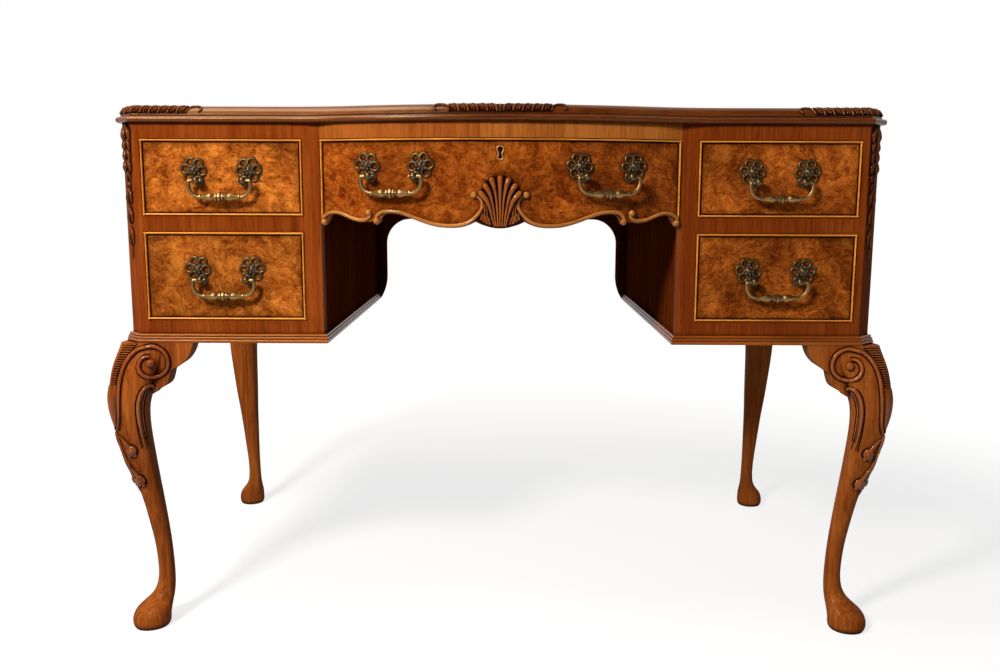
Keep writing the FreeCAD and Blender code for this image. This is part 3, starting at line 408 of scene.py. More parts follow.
def burr(name, colours, node_name, edges, inner_colour, roughness=0.3, coat=0.05):
    """Burr veneer on one drawer front, with a black line of painted shadow at its edges, darker towards its
    edges, and plain wood inside.
    """
    material, tree, shader = new_material(name)
    colour, curl = burr_figure(tree, colours, stretched(tree, (1, 1, 1)))
    gap = math_node(tree, "MULTIPLY", edge_gap(tree, node_name, edges), 40)
    edge_wobble = noise(tree, stretched(tree, (1, 1, 1)), 45, 3, 0.6).outputs[0]
    unevenness = math_node(tree, "MULTIPLY", math_node(tree, "SUBTRACT", edge_wobble, 0.5), 0.14)
    ragged_gap = math_node(tree, "ADD", gap, unevenness)
    # A black line within about 2 mm of the edges: painted shadow of the beads
    line = ramp(tree, gap, ((0.055, 0.02), (0.09, 1.0)))
    # Darker towards the edges, with a ragged inner limit
    edge_darkening = ramp(tree, ragged_gap, ((0.02, 0.38), (0.16, 0.78), (0.42, 1.0)))
    colour = blend_colours(tree, 1.0, colour, blend_colours(tree, 1.0, line, edge_darkening, "MULTIPLY"), "MULTIPLY")
    # Painted shade: the hollows and the corners at the beads darkened by ambient occlusion
    colour = shaded(tree, colour, 0.008, 0.2)
    inner = math_node(tree, "GREATER_THAN", facing(tree, "Y"), 0.5)
    streak = noise(tree, stretched(tree, GRAIN["X"]), 160, 5, 0.6, 0.3).outputs[0]
    plain = ramp(tree, streak, ((0.3, [0.55 * part for part in inner_colour]), (0.65, inner_colour)))
    colour = blend_colours(tree, inner, colour, plain)
    tree.links.new(colour, shader.inputs["Base Color"])
    polish(tree, shader, gloss_of(tree, curl, roughness - 0.05, roughness + 0.08), coat, curl, 0.06)
    return material


def quartered_top(name, colours, band_colours):
    """The writing surface: four mirrored burr leaves inside a crossband that follows the bowed edge."""
    material, tree, shader = new_material(name)
    low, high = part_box("top_board")
    place = add(tree, "ShaderNodeTexCoord").outputs["Object"]
    x, y, z = add(tree, "ShaderNodeSeparateXYZ", {0: place}).outputs
    mirrored_x = math_node(tree, "ABSOLUTE", x)
    mirrored_y = math_node(tree, "ABSOLUTE", math_node(tree, "SUBTRACT", y, (FRONT_Y + high.y) / 2))
    leaf = add(tree, "ShaderNodeCombineXYZ", {0: mirrored_x, 1: mirrored_y, 2: z}).outputs[0]
    colour, curl = burr_figure(tree, colours, leaf)
    end_gap = math_node(tree, "SUBTRACT", high.x, mirrored_x)
    behind_centre = math_node(tree, "SUBTRACT", y, BOW_CENTRE_Y)
    from_centre = add(tree, "ShaderNodeCombineXYZ", {0: x, 1: behind_centre}).outputs[0]
    away = add(tree, "ShaderNodeVectorMath", {0: from_centre}, operation="LENGTH").outputs["Value"]
    bow_gap = math_node(tree, "SUBTRACT", BOW_CENTRE_Y - low.y, away)
    front_gap = math_node(tree, "MAXIMUM", bow_gap, math_node(tree, "SUBTRACT", y, low.y + BOW_RISE))
    long_gap = math_node(tree, "MINIMUM", front_gap, math_node(tree, "SUBTRACT", high.y, y))
    gap = math_node(tree, "MINIMUM", end_gap, long_gap)
    deep, mid, pale = band_colours
    streaks = [noise(tree, stretched(tree, GRAIN[grain]), 170, 6, 0.6, 0.3).outputs[0]
               for grain in ("X", "Y")]
    at_end = math_node(tree, "LESS_THAN", end_gap, long_gap)
    streak = blend_colours(tree, at_end, streaks[1], streaks[0])
    band = ramp(tree, streak, ((0.36, deep), (0.5, mid), (0.64, pale)))
    colour = blend_colours(tree, math_node(tree, "LESS_THAN", gap, BAND_WIDTH), colour, band)
    string = add(tree, "ShaderNodeMath", {0: gap, 1: BAND_WIDTH, 2: STRING_HALF}, operation="COMPARE")
    colour = blend_colours(tree, string.outputs[0], colour, (*deep, 1))
    tree.links.new(colour, shader.inputs["Base Color"])
    polish(tree, shader, gloss_of(tree, curl, 0.24, 0.36), 0.12, curl, 0.05)
    return material


def aged_brass(name, rubbed, patina, dulled):
    """Cast brass, bright on its high places and brown in its hollows."""
    material, tree, shader = new_material(name)
    flat = stretched(tree, (1, 1, 1))
    mottle = noise(tree, flat, 260, 5, 0.6, 0.6).outputs[0]
    hollow = add(tree, "ShaderNodeAmbientOcclusion", {"Distance": 0.005}, samples=6).outputs["AO"]
    wear = math_node(tree, "MULTIPLY", hollow, math_node(tree, "ADD", mottle, 0.55))
    rubbing = ramp(tree, wear, ((dulled, 0.0), (dulled + 0.45, 1.0)))
    colour = blend_colours(tree, rubbing, (*patina, 1), (*rubbed, 1))
    tree.links.new(colour, shader.inputs["Base Color"])
    tree.links.new(rubbing, shader.inputs["Metallic"])
    gloss = add(tree, "ShaderNodeMapRange", {"Value": wear, "From Min": 0.2, "From Max": 0.9, "To Min": 0.56,
                                             "To Max": 0.38})
    tree.links.new(gloss.outputs[0], shader.inputs["Roughness"])
    bump = add(tree, "ShaderNodeBump", {"Strength": 0.25, "Distance": 0.0003, "Height": mottle})
    tree.links.new(bump.outputs[0], shader.inputs["Normal"])
    return material


def dress(node_name, material):
    """Puts a finish on a frame node."""
    slots = NODES[node_name].material_slots
    if not slots:
        NODES[node_name].data.materials.append(material)
    for slot in slots:
        slot.material = material


class DESK_OT_finishes(bpy.types.Operator):
    """Make the wood and brass finishes and put them on the desk's solids"""
    bl_idname = "desk.finishes"
    bl_label = "Finishes"

    def execute(self, context):
        look = context.scene.desk_finish
        plain = shades(look.walnut, 0.35, 1.6)
        plain_wood = walnut("side_wood", plain)
        leg_wood = walnut("leg_wood", plain, shade_reach=0.01, shade_depth=0.02, roughness=0.3, coat=0.07)
        banding = walnut("frame_wood", shades(look.crossband, 0.5, 1.5))
        frieze = walnut("frieze_wood", shades(look.frieze, 0.6, 1.3), joint=-27 * MM)
        footing = walnut("base_wood", shades(look.base, 0.5, 1.4), grain="X", shade_reach=0.003,
                         shade_depth=0.3, roughness=0.3, coat=0.02, shine=look.shine)
        edging = walnut("edge_wood", shades(look.moulding, 0.4, 1.4), grain="X", shade_reach=0.004,
                        shade_depth=0.02, roughness=0.28, coat=0.08, shine=look.shine)
        # Kneehole boards: a darker colour that is partly painted shade, with wide painted shade in their
        # hollows
        inside = walnut("kneehole_wood", shades(look.kneehole, 0.5, 1.5), shade_reach=0.05, shade_depth=0.2,
                        roughness=0.5, coat=0.0)
        beading = walnut("bead_wood", shades(look.bead, 0.6, 1.3), grain="X", shade_reach=0.0025,
                         shade_depth=0.2, roughness=0.28, coat=0.1, shine=look.shine)
        lining = walnut("lining_wood", shades(look.oak, 0.6, 1.25), grain="Y", shade_reach=0.02,
                        shade_depth=0.35, roughness=0.55, coat=0.0)
        walnut("scroll_wood", shades(look.scroll, 0.45, 1.4), grain="X", shade_reach=0.005, shade_depth=0.08,
               roughness=0.28, coat=0.4)
        walnut("carved_wood", shades(look.walnut, 0.4, 1.5), shade_reach=0.008, shade_depth=0.02,
               roughness=0.3, coat=0.45)
        walnut("leaf_wood", shades([LEAF_TONE * part for part in look.walnut], 0.35, 1.6),
               shade_reach=0.011, shade_depth=0.02, roughness=0.27, coat=0.25)
        # Near-black finish of the pieces that stand for shade in the carving's gaps and hollows and in the
        # keyhole: painted shade
        walnut("painted_shade_wood", shades(look.ground, 0.5, 1.5), grain="X", shade_reach=0.004, shade_depth=0.3,
               roughness=0.4, coat=0.0)
        figured = shades(look.burr, 0.3, 1.65)
        brass = aged_brass("bail_brass", look.brass, look.patina, 0.5)
        dark_brass = aged_brass("flower_brass", [FLOWER_TONE * part for part in look.brass], look.patina, 0.8)
        aged_brass("keyhole_brass", [min(1, RIM_TONE * part) for part in look.brass], look.patina, 0.1)
        for name in NODES:
            if name.endswith(("_rosettes", "_posts")):
                dress(name, dark_brass)
            elif name.endswith("_bail") or name in ("keyhole_escutcheon", "lock_case", "lock_bolt"):
                dress(name, brass)
            elif name.endswith("drawer_front"):
                edges = ("x-", "x+", "z+") if name.startswith("centre") else ("x-", "x+", "z-", "z+")
                # The right drawers' burr is drawn 60 % towards the redder centre burr: partly a different
                # veneer, partly painted shade where the light falls off to the right
                redness_and_shade = {"left": 0.0, "right": 0.6, "centre": 1.0}[name.split("_")[0]]
                colours = shades(Vector(look.burr).lerp(Vector(look.centre_burr), redness_and_shade), 0.3, 1.65)
                dress(name, burr(name, colours, name, edges, look.oak))
            elif name == "top_board":
                dress(name, quartered_top("top_veneer", figured, shades(look.walnut, 0.4, 1.5)))
            elif name.endswith("cock_bead"):
                dress(name, beading)
            elif name.endswith(("drawer_box", "runners", "bottom_board")):
                dress(name, lining)
            elif name.endswith("base_moulding"):
                dress(name, footing)
            elif name.endswith("moulding"):
                dress(name, edging)
            elif name.endswith(("inner_side", "back_arch")):
                dress(name, inside)
            elif name == "centre_top_rail":
                dress(name, frieze)
            elif name.endswith("front_frame"):
                dress(name, banding)
            elif name.endswith(("_leg", "knee_ears")):
                dress(name, leg_wood)
            else:
                dress(name, plain_wood)
        return {"FINISHED"}


# Making pieces

def start_fresh():
    """Object mode, with nothing selected."""
    active = bpy.context.object
    if active and active.mode != "OBJECT":
        bpy.ops.object.mode_set(mode="OBJECT")
    bpy.ops.object.select_all(action="DESELECT")


def bead_along(points, radii, order=3, rings=5, sides=3):
    """A round bead along a smooth line of points, with one radius or a radius for each point."""
    start_fresh()
    bpy.ops.curve.primitive_nurbs_path_add()
    curve = bpy.context.object.data
    curve.splines.clear()
    line = curve.splines.new("NURBS")
    line.points.add(len(points) - 1)
    if not hasattr(radii, "__len__"):
        radii = [radii] * len(points)
    for point, place, radius in zip(line.points, points, radii):
        point.co = (*place, 1)
        point.radius = radius
    line.order_u = order
    line.use_endpoint_u = True
    curve.resolution_u = line.resolution_u = rings
    curve.bevel_depth = 1
    curve.bevel_resolution = sides
    curve.use_fill_caps = True
    bpy.ops.object.convert(target="MESH")
    return bpy.context.object


def ball(place, radius, flatten=(1, 1, 1), segments=16, rings=10):
    """A knob, flattened or drawn out along the axes."""
    start_fresh()
    bpy.ops.mesh.primitive_uv_sphere_add(segments=segments, ring_count=rings, radius=radius)
    knob = bpy.context.object
    bpy.ops.object.mode_set(mode="EDIT")
    bpy.ops.transform.resize(value=flatten, center_override=(0, 0, 0))
    bpy.ops.transform.translate(value=place)
    bpy.ops.object.mode_set(mode="OBJECT")
    return knob


def turned(profile, sides=24):
    """A form turned about Z; the profile holds heights and radii from its foot to its head."""
    start_fresh()
    height, radius = profile[0]
    bpy.ops.mesh.primitive_circle_add(vertices=sides, radius=radius, fill_type="NGON")
    form = bpy.context.object
    bpy.ops.object.mode_set(mode="EDIT")
    bpy.ops.transform.translate(value=(0, 0, height))
    for next_height, next_radius in profile[1:]:
        bpy.ops.mesh.extrude_region_move(TRANSFORM_OT_translate={"value": (0, 0, next_height - height)})
        change = next_radius / radius
        bpy.ops.transform.resize(value=(change, change, 1), center_override=(0, 0, next_height))
        height, radius = next_height, next_radius
    bpy.ops.object.mode_set(mode="OBJECT")
    return form


def moved(piece, change):
    """The piece itself, moved by a matrix."""
    piece.data.transform(change)
    return piece


def copy_of(piece, change):
    """A copy with its own mesh, moved by a matrix."""
    twin = piece.copy()
    twin.data = piece.data.copy()
    bpy.context.collection.objects.link(twin)
    twin.data.transform(change)
    if change.is_negative:
        twin.data.flip_normals()
    return twin


def joined(parts, name):
    """One piece out of several, its faces turned outwards."""
    start_fresh()
    for part in parts:
        part.select_set(True)
    bpy.context.view_layer.objects.active = parts[0]
    if len(parts) > 1:
        bpy.ops.object.join()
    piece = bpy.context.object
    piece.name = piece.data.name = name
    bpy.ops.object.mode_set(mode="EDIT")
    bpy.ops.mesh.select_all(action="SELECT")
    bpy.ops.mesh.normals_make_consistent(inside=False)
    bpy.ops.object.mode_set(mode="OBJECT")
    bpy.ops.object.shade_smooth_by_angle(angle=math.radians(50))
    return piece


def finished(part, finish):
    """The part itself, with its finish put on."""
    part.data.materials.clear()
    part.data.materials.append(bpy.data.materials[finish])
    return part


def settle(piece, body, slot, finish, *nodes):
    """Gives a piece its body, its finish unless its parts have theirs, and the nodes that it stands for."""
    if finish:
        finished(piece, finish)
    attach(piece, body)
    if nodes:
        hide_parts(*nodes)


MIRROR = Matrix.Diagonal((-1, 1, 1, 1))
# Swaps the front and the side of the right front corner
CORNER_SUM = CARCASS_HALF + FRONT_Y
CORNER_SWAP = Matrix(((0, -1, 0, CORNER_SUM), (-1, 0, 0, CORNER_SUM), (0, 0, 1, 0), (0, 0, 0, 1)))


def on_bow(x, z, out=0.0):
    """A place on the bowed front, out from its face."""
    turn = math.asin(x / BOW_RADIUS)
    reach = BOW_RADIUS + out
    return Vector((reach * math.sin(turn), BOW_CENTRE_Y - reach * math.cos(turn), z))


def on_flat(x, z, out=0.0):
    """A place on a pedestal's flat front, out from its face."""
    return Vector((x, FRONT_Y - out, z))


def bead_strip(x0, x1, z0, z1, depth, proud, face):
    """A strip of cock bead with a rounded nose, let into a flat or bowed face."""
    start_fresh()
    bpy.ops.mesh.primitive_cube_add(size=1)
    strip = bpy.context.object
    bpy.ops.object.mode_set(mode="EDIT")
    bpy.ops.transform.resize(value=(x1 - x0, depth + proud, z1 - z0), center_override=(0, 0, 0))
    bpy.ops.transform.translate(value=((x0 + x1) / 2, (depth - proud) / 2, (z0 + z1) / 2))
    bpy.ops.mesh.subdivide(number_cuts=5)
    bpy.ops.object.mode_set(mode="OBJECT")
    lying = x1 - x0 > z1 - z0
    thin = min(x1 - x0, z1 - z0)
    for vertex in strip.data.vertices:
        x, y, z = vertex.co
        across = z - (z0 + z1) / 2 if lying else x - (x0 + x1) / 2
        nose = max(0, -y) * (2 * across / thin) ** 2
        vertex.co = face(x, z, -y - nose)
    return strip


class DESK_OT_beads(bpy.types.Operator):
    """Model the round-nosed cock beads and the centre drawer's scrolled lower edge"""
    bl_idname = "desk.beads"
    bl_label = "Cock beads"
    edge, depth, proud = 3 * MM, 22 * MM, 2.2 * MM

    def execute(self, context):
        sizes = context.scene.desk_carving
        for side, _ in SIDES:
            for level in LEVELS:
                self.frame_bead(side + "_" + level)
        half = DRAWER_HALF + self.edge
        low = SHELL_FOOT + END_SCROLL[1][1] * MM
        fit = (self.depth, self.proud, on_bow)
        parts = [bead_strip(-half, half, DRAWER_HEAD, DRAWER_HEAD + self.edge, *fit)]
        scrolls = []
        for side in (1, -1):
            x0, x1 = sorted((side * DRAWER_HALF, side * half))
            parts.append(bead_strip(x0, x1, low, DRAWER_HEAD, *fit))
            for run in (END_SCROLL, MAIN_SCROLL):
                line = [on_bow(side * x * MM, SHELL_FOOT + rise * MM, 0.8 * MM) for x, rise in run]
                end_radius = 0.8 * sizes.scroll_bead
                radii = [end_radius] + [sizes.scroll_bead] * (len(run) - 2) + [end_radius]
                scrolls.append(bead_along(line, radii, rings=6))
                scrolls += [ball(end, sizes.scroll_ball) for end in (line[0], line[-1])]
        parts = [finished(part, "bead_wood") for part in parts]
        parts += [finished(part, "scroll_wood") for part in scrolls]
        settle(joined(parts, "centre_scroll_bead"), "centre_drawer", "golden_bead", None, "centre_cock_bead")
        return {"FINISHED"}

    def frame_bead(self, drawer):
        """The four beads round a pedestal's drawer front."""
        low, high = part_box(drawer + "_cock_bead")
        fit = (self.depth, self.proud, on_flat)
        parts = [bead_strip(low.x, high.x, low.z, low.z + self.edge, *fit),
                 bead_strip(low.x, high.x, high.z - self.edge, high.z, *fit),
                 bead_strip(low.x, low.x + self.edge, low.z, high.z, *fit),
                 bead_strip(high.x - self.edge, high.x, low.z, high.z, *fit)]
        settle(joined(parts, drawer + "_round_bead"), drawer + "_drawer", "golden_bead", "bead_wood",
               drawer + "_cock_bead")


class DESK_OT_shell(bpy.types.Operator):
    """Carve the fan shell under the keyhole"""
    bl_idname = "desk.shell"
    bl_label = "Shell"
    ground = 3.2 * MM

    def execute(self, context):
        parts, sunk = [], []
        for index, rib in enumerate(SHELL_RIBS):
            for side in (1, -1) if index else (1,):
                lift = [self.ground + step * MM for step in (0.6, 1.2, 2.4, 3.2, 1.6)]
                radii = [radius * MM for radius in SHELL_RIB_RADII]
                line = self.line(rib, side, lift)
                parts += [bead_along(line, radii), ball(line[-1], radii[-1])]
        for inner, outer in zip(SHELL_RIBS, SHELL_RIBS[1:]):
            middle = [((a + c) / 2, (b + d) / 2 - 2) for (a, b), (c, d) in zip(inner, outer)]
            for side in (1, -1):
                sunk.append(bead_along(self.line(middle, side, self.ground),
                                       [radius * MM for radius in (0.5, 0.7, 0.8, 1.0, 0.7)]))
        for flank in SHELL_FLANKS:
            for side in (1, -1):
                parts.append(bead_along(self.line(flank, side, self.ground), 1.1 * MM))
        for row in range(4):
            hatch = [(x - 0.6 * row, rise + 2.3 * row) for x, rise in SHELL_HATCH]
            for side in (1, -1):
                parts.append(bead_along(self.line(hatch, side, self.ground), 0.75 * MM))
        parts = [finished(part, "carved_wood") for part in parts]
        parts += [finished(part, "leaf_wood") for part in sunk]
        # The plate's near-black finish is painted shade in the gaps between the ribs
        parts.append(finished(self.plate(), "painted_shade_wood"))
        settle(joined(parts, "centre_shell_carving"), "centre_drawer", "walnut", None, "centre_shell")
        return {"FINISHED"}

    def line(self, points, side, lift):
        lifts = lift if hasattr(lift, "__len__") else [lift] * len(points)
        return [on_bow(side * x * MM, SHELL_FOOT + rise * MM, out) for (x, rise), out in zip(points, lifts)]

    def plate(self):
        """The ground of the shell, let into the drawer front; its near-black finish is painted shade in the
        gaps between the ribs.
        """
        start_fresh()
        bpy.ops.curve.primitive_bezier_circle_add()
        curve = bpy.context.object.data
        curve.dimensions = "2D"
        curve.splines.clear()
        edge = SHELL_EDGE + tuple((-x, rise) for x, rise in SHELL_EDGE[-2:0:-1])
        line = curve.splines.new("NURBS")
        line.points.add(len(edge) - 1)
        for point, (x, rise) in zip(line.points, edge):
            point.co = (x * MM, rise * MM, 0, 1)
        line.use_cyclic_u = True
        line.order_u = 3
        curve.fill_mode = "BOTH"
        curve.extrude = 2.6 * MM
        curve.bevel_depth = 0.8 * MM
        bpy.ops.object.convert(target="MESH")
        plate = bpy.context.object
        for vertex in plate.data.vertices:
            x, rise, out = vertex.co
            vertex.co = on_bow(x, SHELL_FOOT + rise, out)
        return plate


KEYHOLE = ((0, 9), (4.2, 7), (4.6, 3), (2.2, -1), (3.4, -6), (3.8, -9), (0, -9.6))


class DESK_OT_keyhole(bpy.types.Operator):
    """Model the bright rim of the keyhole and a near-black plug in it, painted shade in the hole"""
    bl_idname = "desk.keyhole"
    bl_label = "Keyhole"

    def execute(self, context):
        low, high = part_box("keyhole_escutcheon")
        middle = (low.z + high.z) / 2
        outline = KEYHOLE + tuple((-x, z) for x, z in KEYHOLE[-2:0:-1])
        line = [on_bow(x * MM, middle + z * MM, 0.3 * MM) for x, z in outline]
        rim = bead_along(line + line[:3], 1.0 * MM, rings=5)
        settle(joined([rim], "keyhole_rim"), "centre_drawer", "antique_brass", "keyhole_brass",
               "keyhole_escutcheon")
        # A near-black plug in the keyhole: painted shade in the hole
        start_fresh()
        bpy.ops.mesh.primitive_circle_add(vertices=len(outline), radius=1, fill_type="NGON")
        hole = bpy.context.object
        bpy.ops.object.mode_set(mode="EDIT")
        bpy.ops.mesh.extrude_region_move(TRANSFORM_OT_translate={"value": (0, 0, 1)})
        bpy.ops.object.mode_set(mode="OBJECT")
        for index, vertex in enumerate(hole.data.vertices):
            x, z = outline[index % len(outline)]
            vertex.co = on_bow(x * MM, middle + z * MM, (0.25 if vertex.co.z > 0.5 else -0.5) * MM)
        settle(joined([hole], "keyhole_hole"), "centre_drawer", "lock_steel", "painted_shade_wood")
        return {"FINISHED"}


# Handles, drawn round the handle's middle with the drawer face on y = 0

FLOWER_SPAN, FLOWER_RISE = 39 * MM, 10.5 * MM
POST_X, POST_Z, POST_OUT = 32.5 * MM, -4.5 * MM, 14 * MM
BAIL_WIRE = 2.8 * MM
CENTRE_HANDLE_X = 147 * MM
FLOWER_LOOPS = 6
LOOP_REACH, PEARL_REACH, PETAL_REACH = 11.6 * MM, 9.4 * MM, 5.6 * MM
BOSS = ((0, 8.6), (1.6, 8.4), (2.2, 6.4), (3.6, 5.6), (5.2, 4), (6, 2.2), (6.6, 2.4), (7.4, 1.8), (7.8, 0.6))
BAIL_ARM = ((26, -4.5), (32, -4.5), (38.5, -4.5), (43.6, -4.5), (44, -10), (42.5, -17), (39, -23),
            (33.5, -26.5), (29, -27.5))
BAIL_ARM_RADII = (2.3, 2.3, 2.3, 2.8, 3, 3, 2.9, 2.7, 2.5)
BAR_TURNING = ((0, 6.9), (1.4, 6.9), (2.2, 4.8), (3.2, 4.6), (3.9, 5.8), (5.4, 5.8), (6.4, 3.4),
               (7.6, 3.3), (9.6, 4.6), (12, 5.7), (14.5, 5.8), (18, 5), (22, 3.8), (26, 3), (26.8, 4.1),
               (28.4, 4.1), (29.2, 2.8), (31, 2.6))


def outwards():
    """Turns +Z of a turned form out of the drawer face."""
    return Matrix.Rotation(math.radians(90), 4, "X")


def flower(sizes, side):
    """A pierced flower of ring loops round a boss; the loop towards the post carries it."""
    middle = Vector((side * FLOWER_SPAN, 0, FLOWER_RISE))
    to_post = Vector((side * POST_X, 0, POST_Z)) - middle
    heading = math.atan2(to_post.z, to_post.x)
    parts = [moved(turned([(h * MM, r * MM) for h, r in BOSS]), Matrix.Translation(middle) @ outwards())]
    for index in range(FLOWER_LOOPS):
        turn = heading + 2 * math.pi * index / FLOWER_LOOPS
        way = Vector((math.cos(turn), 0, math.sin(turn)))
        reach = to_post.length if index == 0 else LOOP_REACH
        start_fresh()
        bpy.ops.mesh.primitive_torus_add(major_radius=sizes.loop_radius, minor_radius=sizes.loop_wire,
                                         major_segments=24, minor_segments=8)
        loop = bpy.context.object
        bpy.ops.object.mode_set(mode="EDIT")
        bpy.ops.transform.resize(value=(1, 1, 0.85), center_override=(0, 0, 0))
        bpy.ops.object.mode_set(mode="OBJECT")
        lean = Matrix.Rotation(math.radians(6), 4, way.cross(Vector((0, 1, 0))))
        place = middle + way * reach + Vector((0, -sizes.loop_wire, 0))
        parts.append(moved(loop, Matrix.Translation(place) @ lean @ outwards()))
        between = heading + 2 * math.pi * (index + 0.5) / FLOWER_LOOPS
        side_way = Vector((math.cos(between), 0, math.sin(between)))
        pearl = middle + side_way * PEARL_REACH + Vector((0, -2 * MM, 0))
        parts.append(ball(pearl, 2.3 * MM, (1, 0.9, 1), 12, 8))
        petal = middle + way * PETAL_REACH + Vector((0, -3.4 * MM, 0))
        parts.append(ball(petal, 2.4 * MM, (1, 1.1, 1), 12, 8))
    pad = turned(((0, 7 * MM), (1.6 * MM, 7 * MM), (2.4 * MM, 6.2 * MM)))
    parts.append(moved(pad, Matrix.Translation((side * POST_X, 0, POST_Z)) @ outwards()))
    return parts


def handle_place(body):
    """Where the middle of a handle stands, as a matrix, and whether that is on the bowed front."""
    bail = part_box(body + "_bail")
    middle_z = bail[1].z - BAIL_WIRE - POST_Z
    if not body.startswith("centre"):
        return Matrix.Translation(((bail[0].x + bail[1].x) / 2, FRONT_Y, middle_z)), False
    x = CENTRE_HANDLE_X if body.endswith("right") else -CENTRE_HANDLE_X
    return Matrix.Translation(on_bow(x, middle_z)) @ Matrix.Rotation(math.asin(x / BOW_RADIUS), 4, "Z"), True


HANDLES = tuple(side + "_" + level for side, _ in SIDES for level in LEVELS) + ("centre_left", "centre_right")


class DESK_OT_flower_plates(bpy.types.Operator):
    """Model the pierced flowers behind the handles"""
    bl_idname = "desk.flower_plates"
    bl_label = "Handle flowers"

    def execute(self, context):
        sizes = context.scene.desk_carving
        flowers = {side: joined(flower(sizes, side), "flower") for side in (1, -1)}
        centre = []
        for body in HANDLES:
            place, bowed = handle_place(body)
            pair = []
            for side, model in flowers.items():
                away = side * FLOWER_SPAN
                lean = math.asin(away / BOW_RADIUS) if bowed else 0
                sink = BOW_RADIUS * (1 - math.cos(lean))
                seat = Matrix.Translation((away, sink, 0)) @ Matrix.Rotation(lean, 4, "Z")
                pair.append(copy_of(model, place @ seat @ Matrix.Translation((-away, 0, 0))))
            if bowed:
                centre += pair
            else:
                settle(joined(pair, body + "_flowers"), body + "_drawer", "antique_brass", "flower_brass",
                       body + "_rosettes")
        settle(joined(centre, "centre_flowers"), "centre_drawer", "antique_brass", "flower_brass",
               "centre_rosettes")
        for model in flowers.values():
            bpy.data.objects.remove(model)
        return {"FINISHED"}


class DESK_OT_bails(bpy.types.Operator):
    """Model the swan-necked bails with their turned bars"""
    bl_idname = "desk.bails"
    bl_label = "Bails"

    def execute(self, context):
        half = [(x * MM, r * MM) for x, r in BAR_TURNING]
        profile = [(-x, r) for x, r in reversed(half)] + half[1:]
        bar_place = Matrix.Translation((0, -POST_OUT, BAIL_ARM[-1][1] * MM))
        parts = [moved(turned(profile), bar_place @ Matrix.Rotation(math.radians(90), 4, "Y"))]
        for side in (1, -1):
            line = [(side * x * MM, -POST_OUT, z * MM) for x, z in BAIL_ARM]
            parts.append(bead_along(line, [r * MM for r in BAIL_ARM_RADII], sides=4))
        model = joined(parts, "bail")
        for body in HANDLES:
            place, bowed = handle_place(body)
            sink = BOW_RADIUS - math.sqrt(BOW_RADIUS ** 2 - POST_X ** 2) if bowed else 0
            bail = copy_of(model, place @ Matrix.Translation((0, sink, 0)))
            settle(joined([bail], body + "_swan_bail"), body + "_bail", "antique_brass", "bail_brass",
                   body + "_bail")
        bpy.data.objects.remove(model)
        return {"FINISHED"}


# Carving laid on the carcass

def ground_of(*names):
    """The surface of some frame nodes, to lay carving on."""
    points, faces = [], []
    for name in names:
        node = NODES[name]
        base = len(points)
        points += [node.matrix_world @ vertex.co for vertex in node.data.vertices]
        faces += [[base + index for index in face.vertices] for face in node.data.polygons]
    return BVHTree.FromPolygons(points, faces)


def lay_on(ground, start, way, lift=0.0, may_miss=False):
    """Where a line meets the ground, lifted off it."""
    place, normal, _, _ = ground.ray_cast(start, way)
    if place is None and may_miss:
        return None
    if place is None:
        raise ValueError("carving misses its ground at " + str(tuple(start)))
    return place + (normal if normal.dot(way) < 0 else -normal) * lift


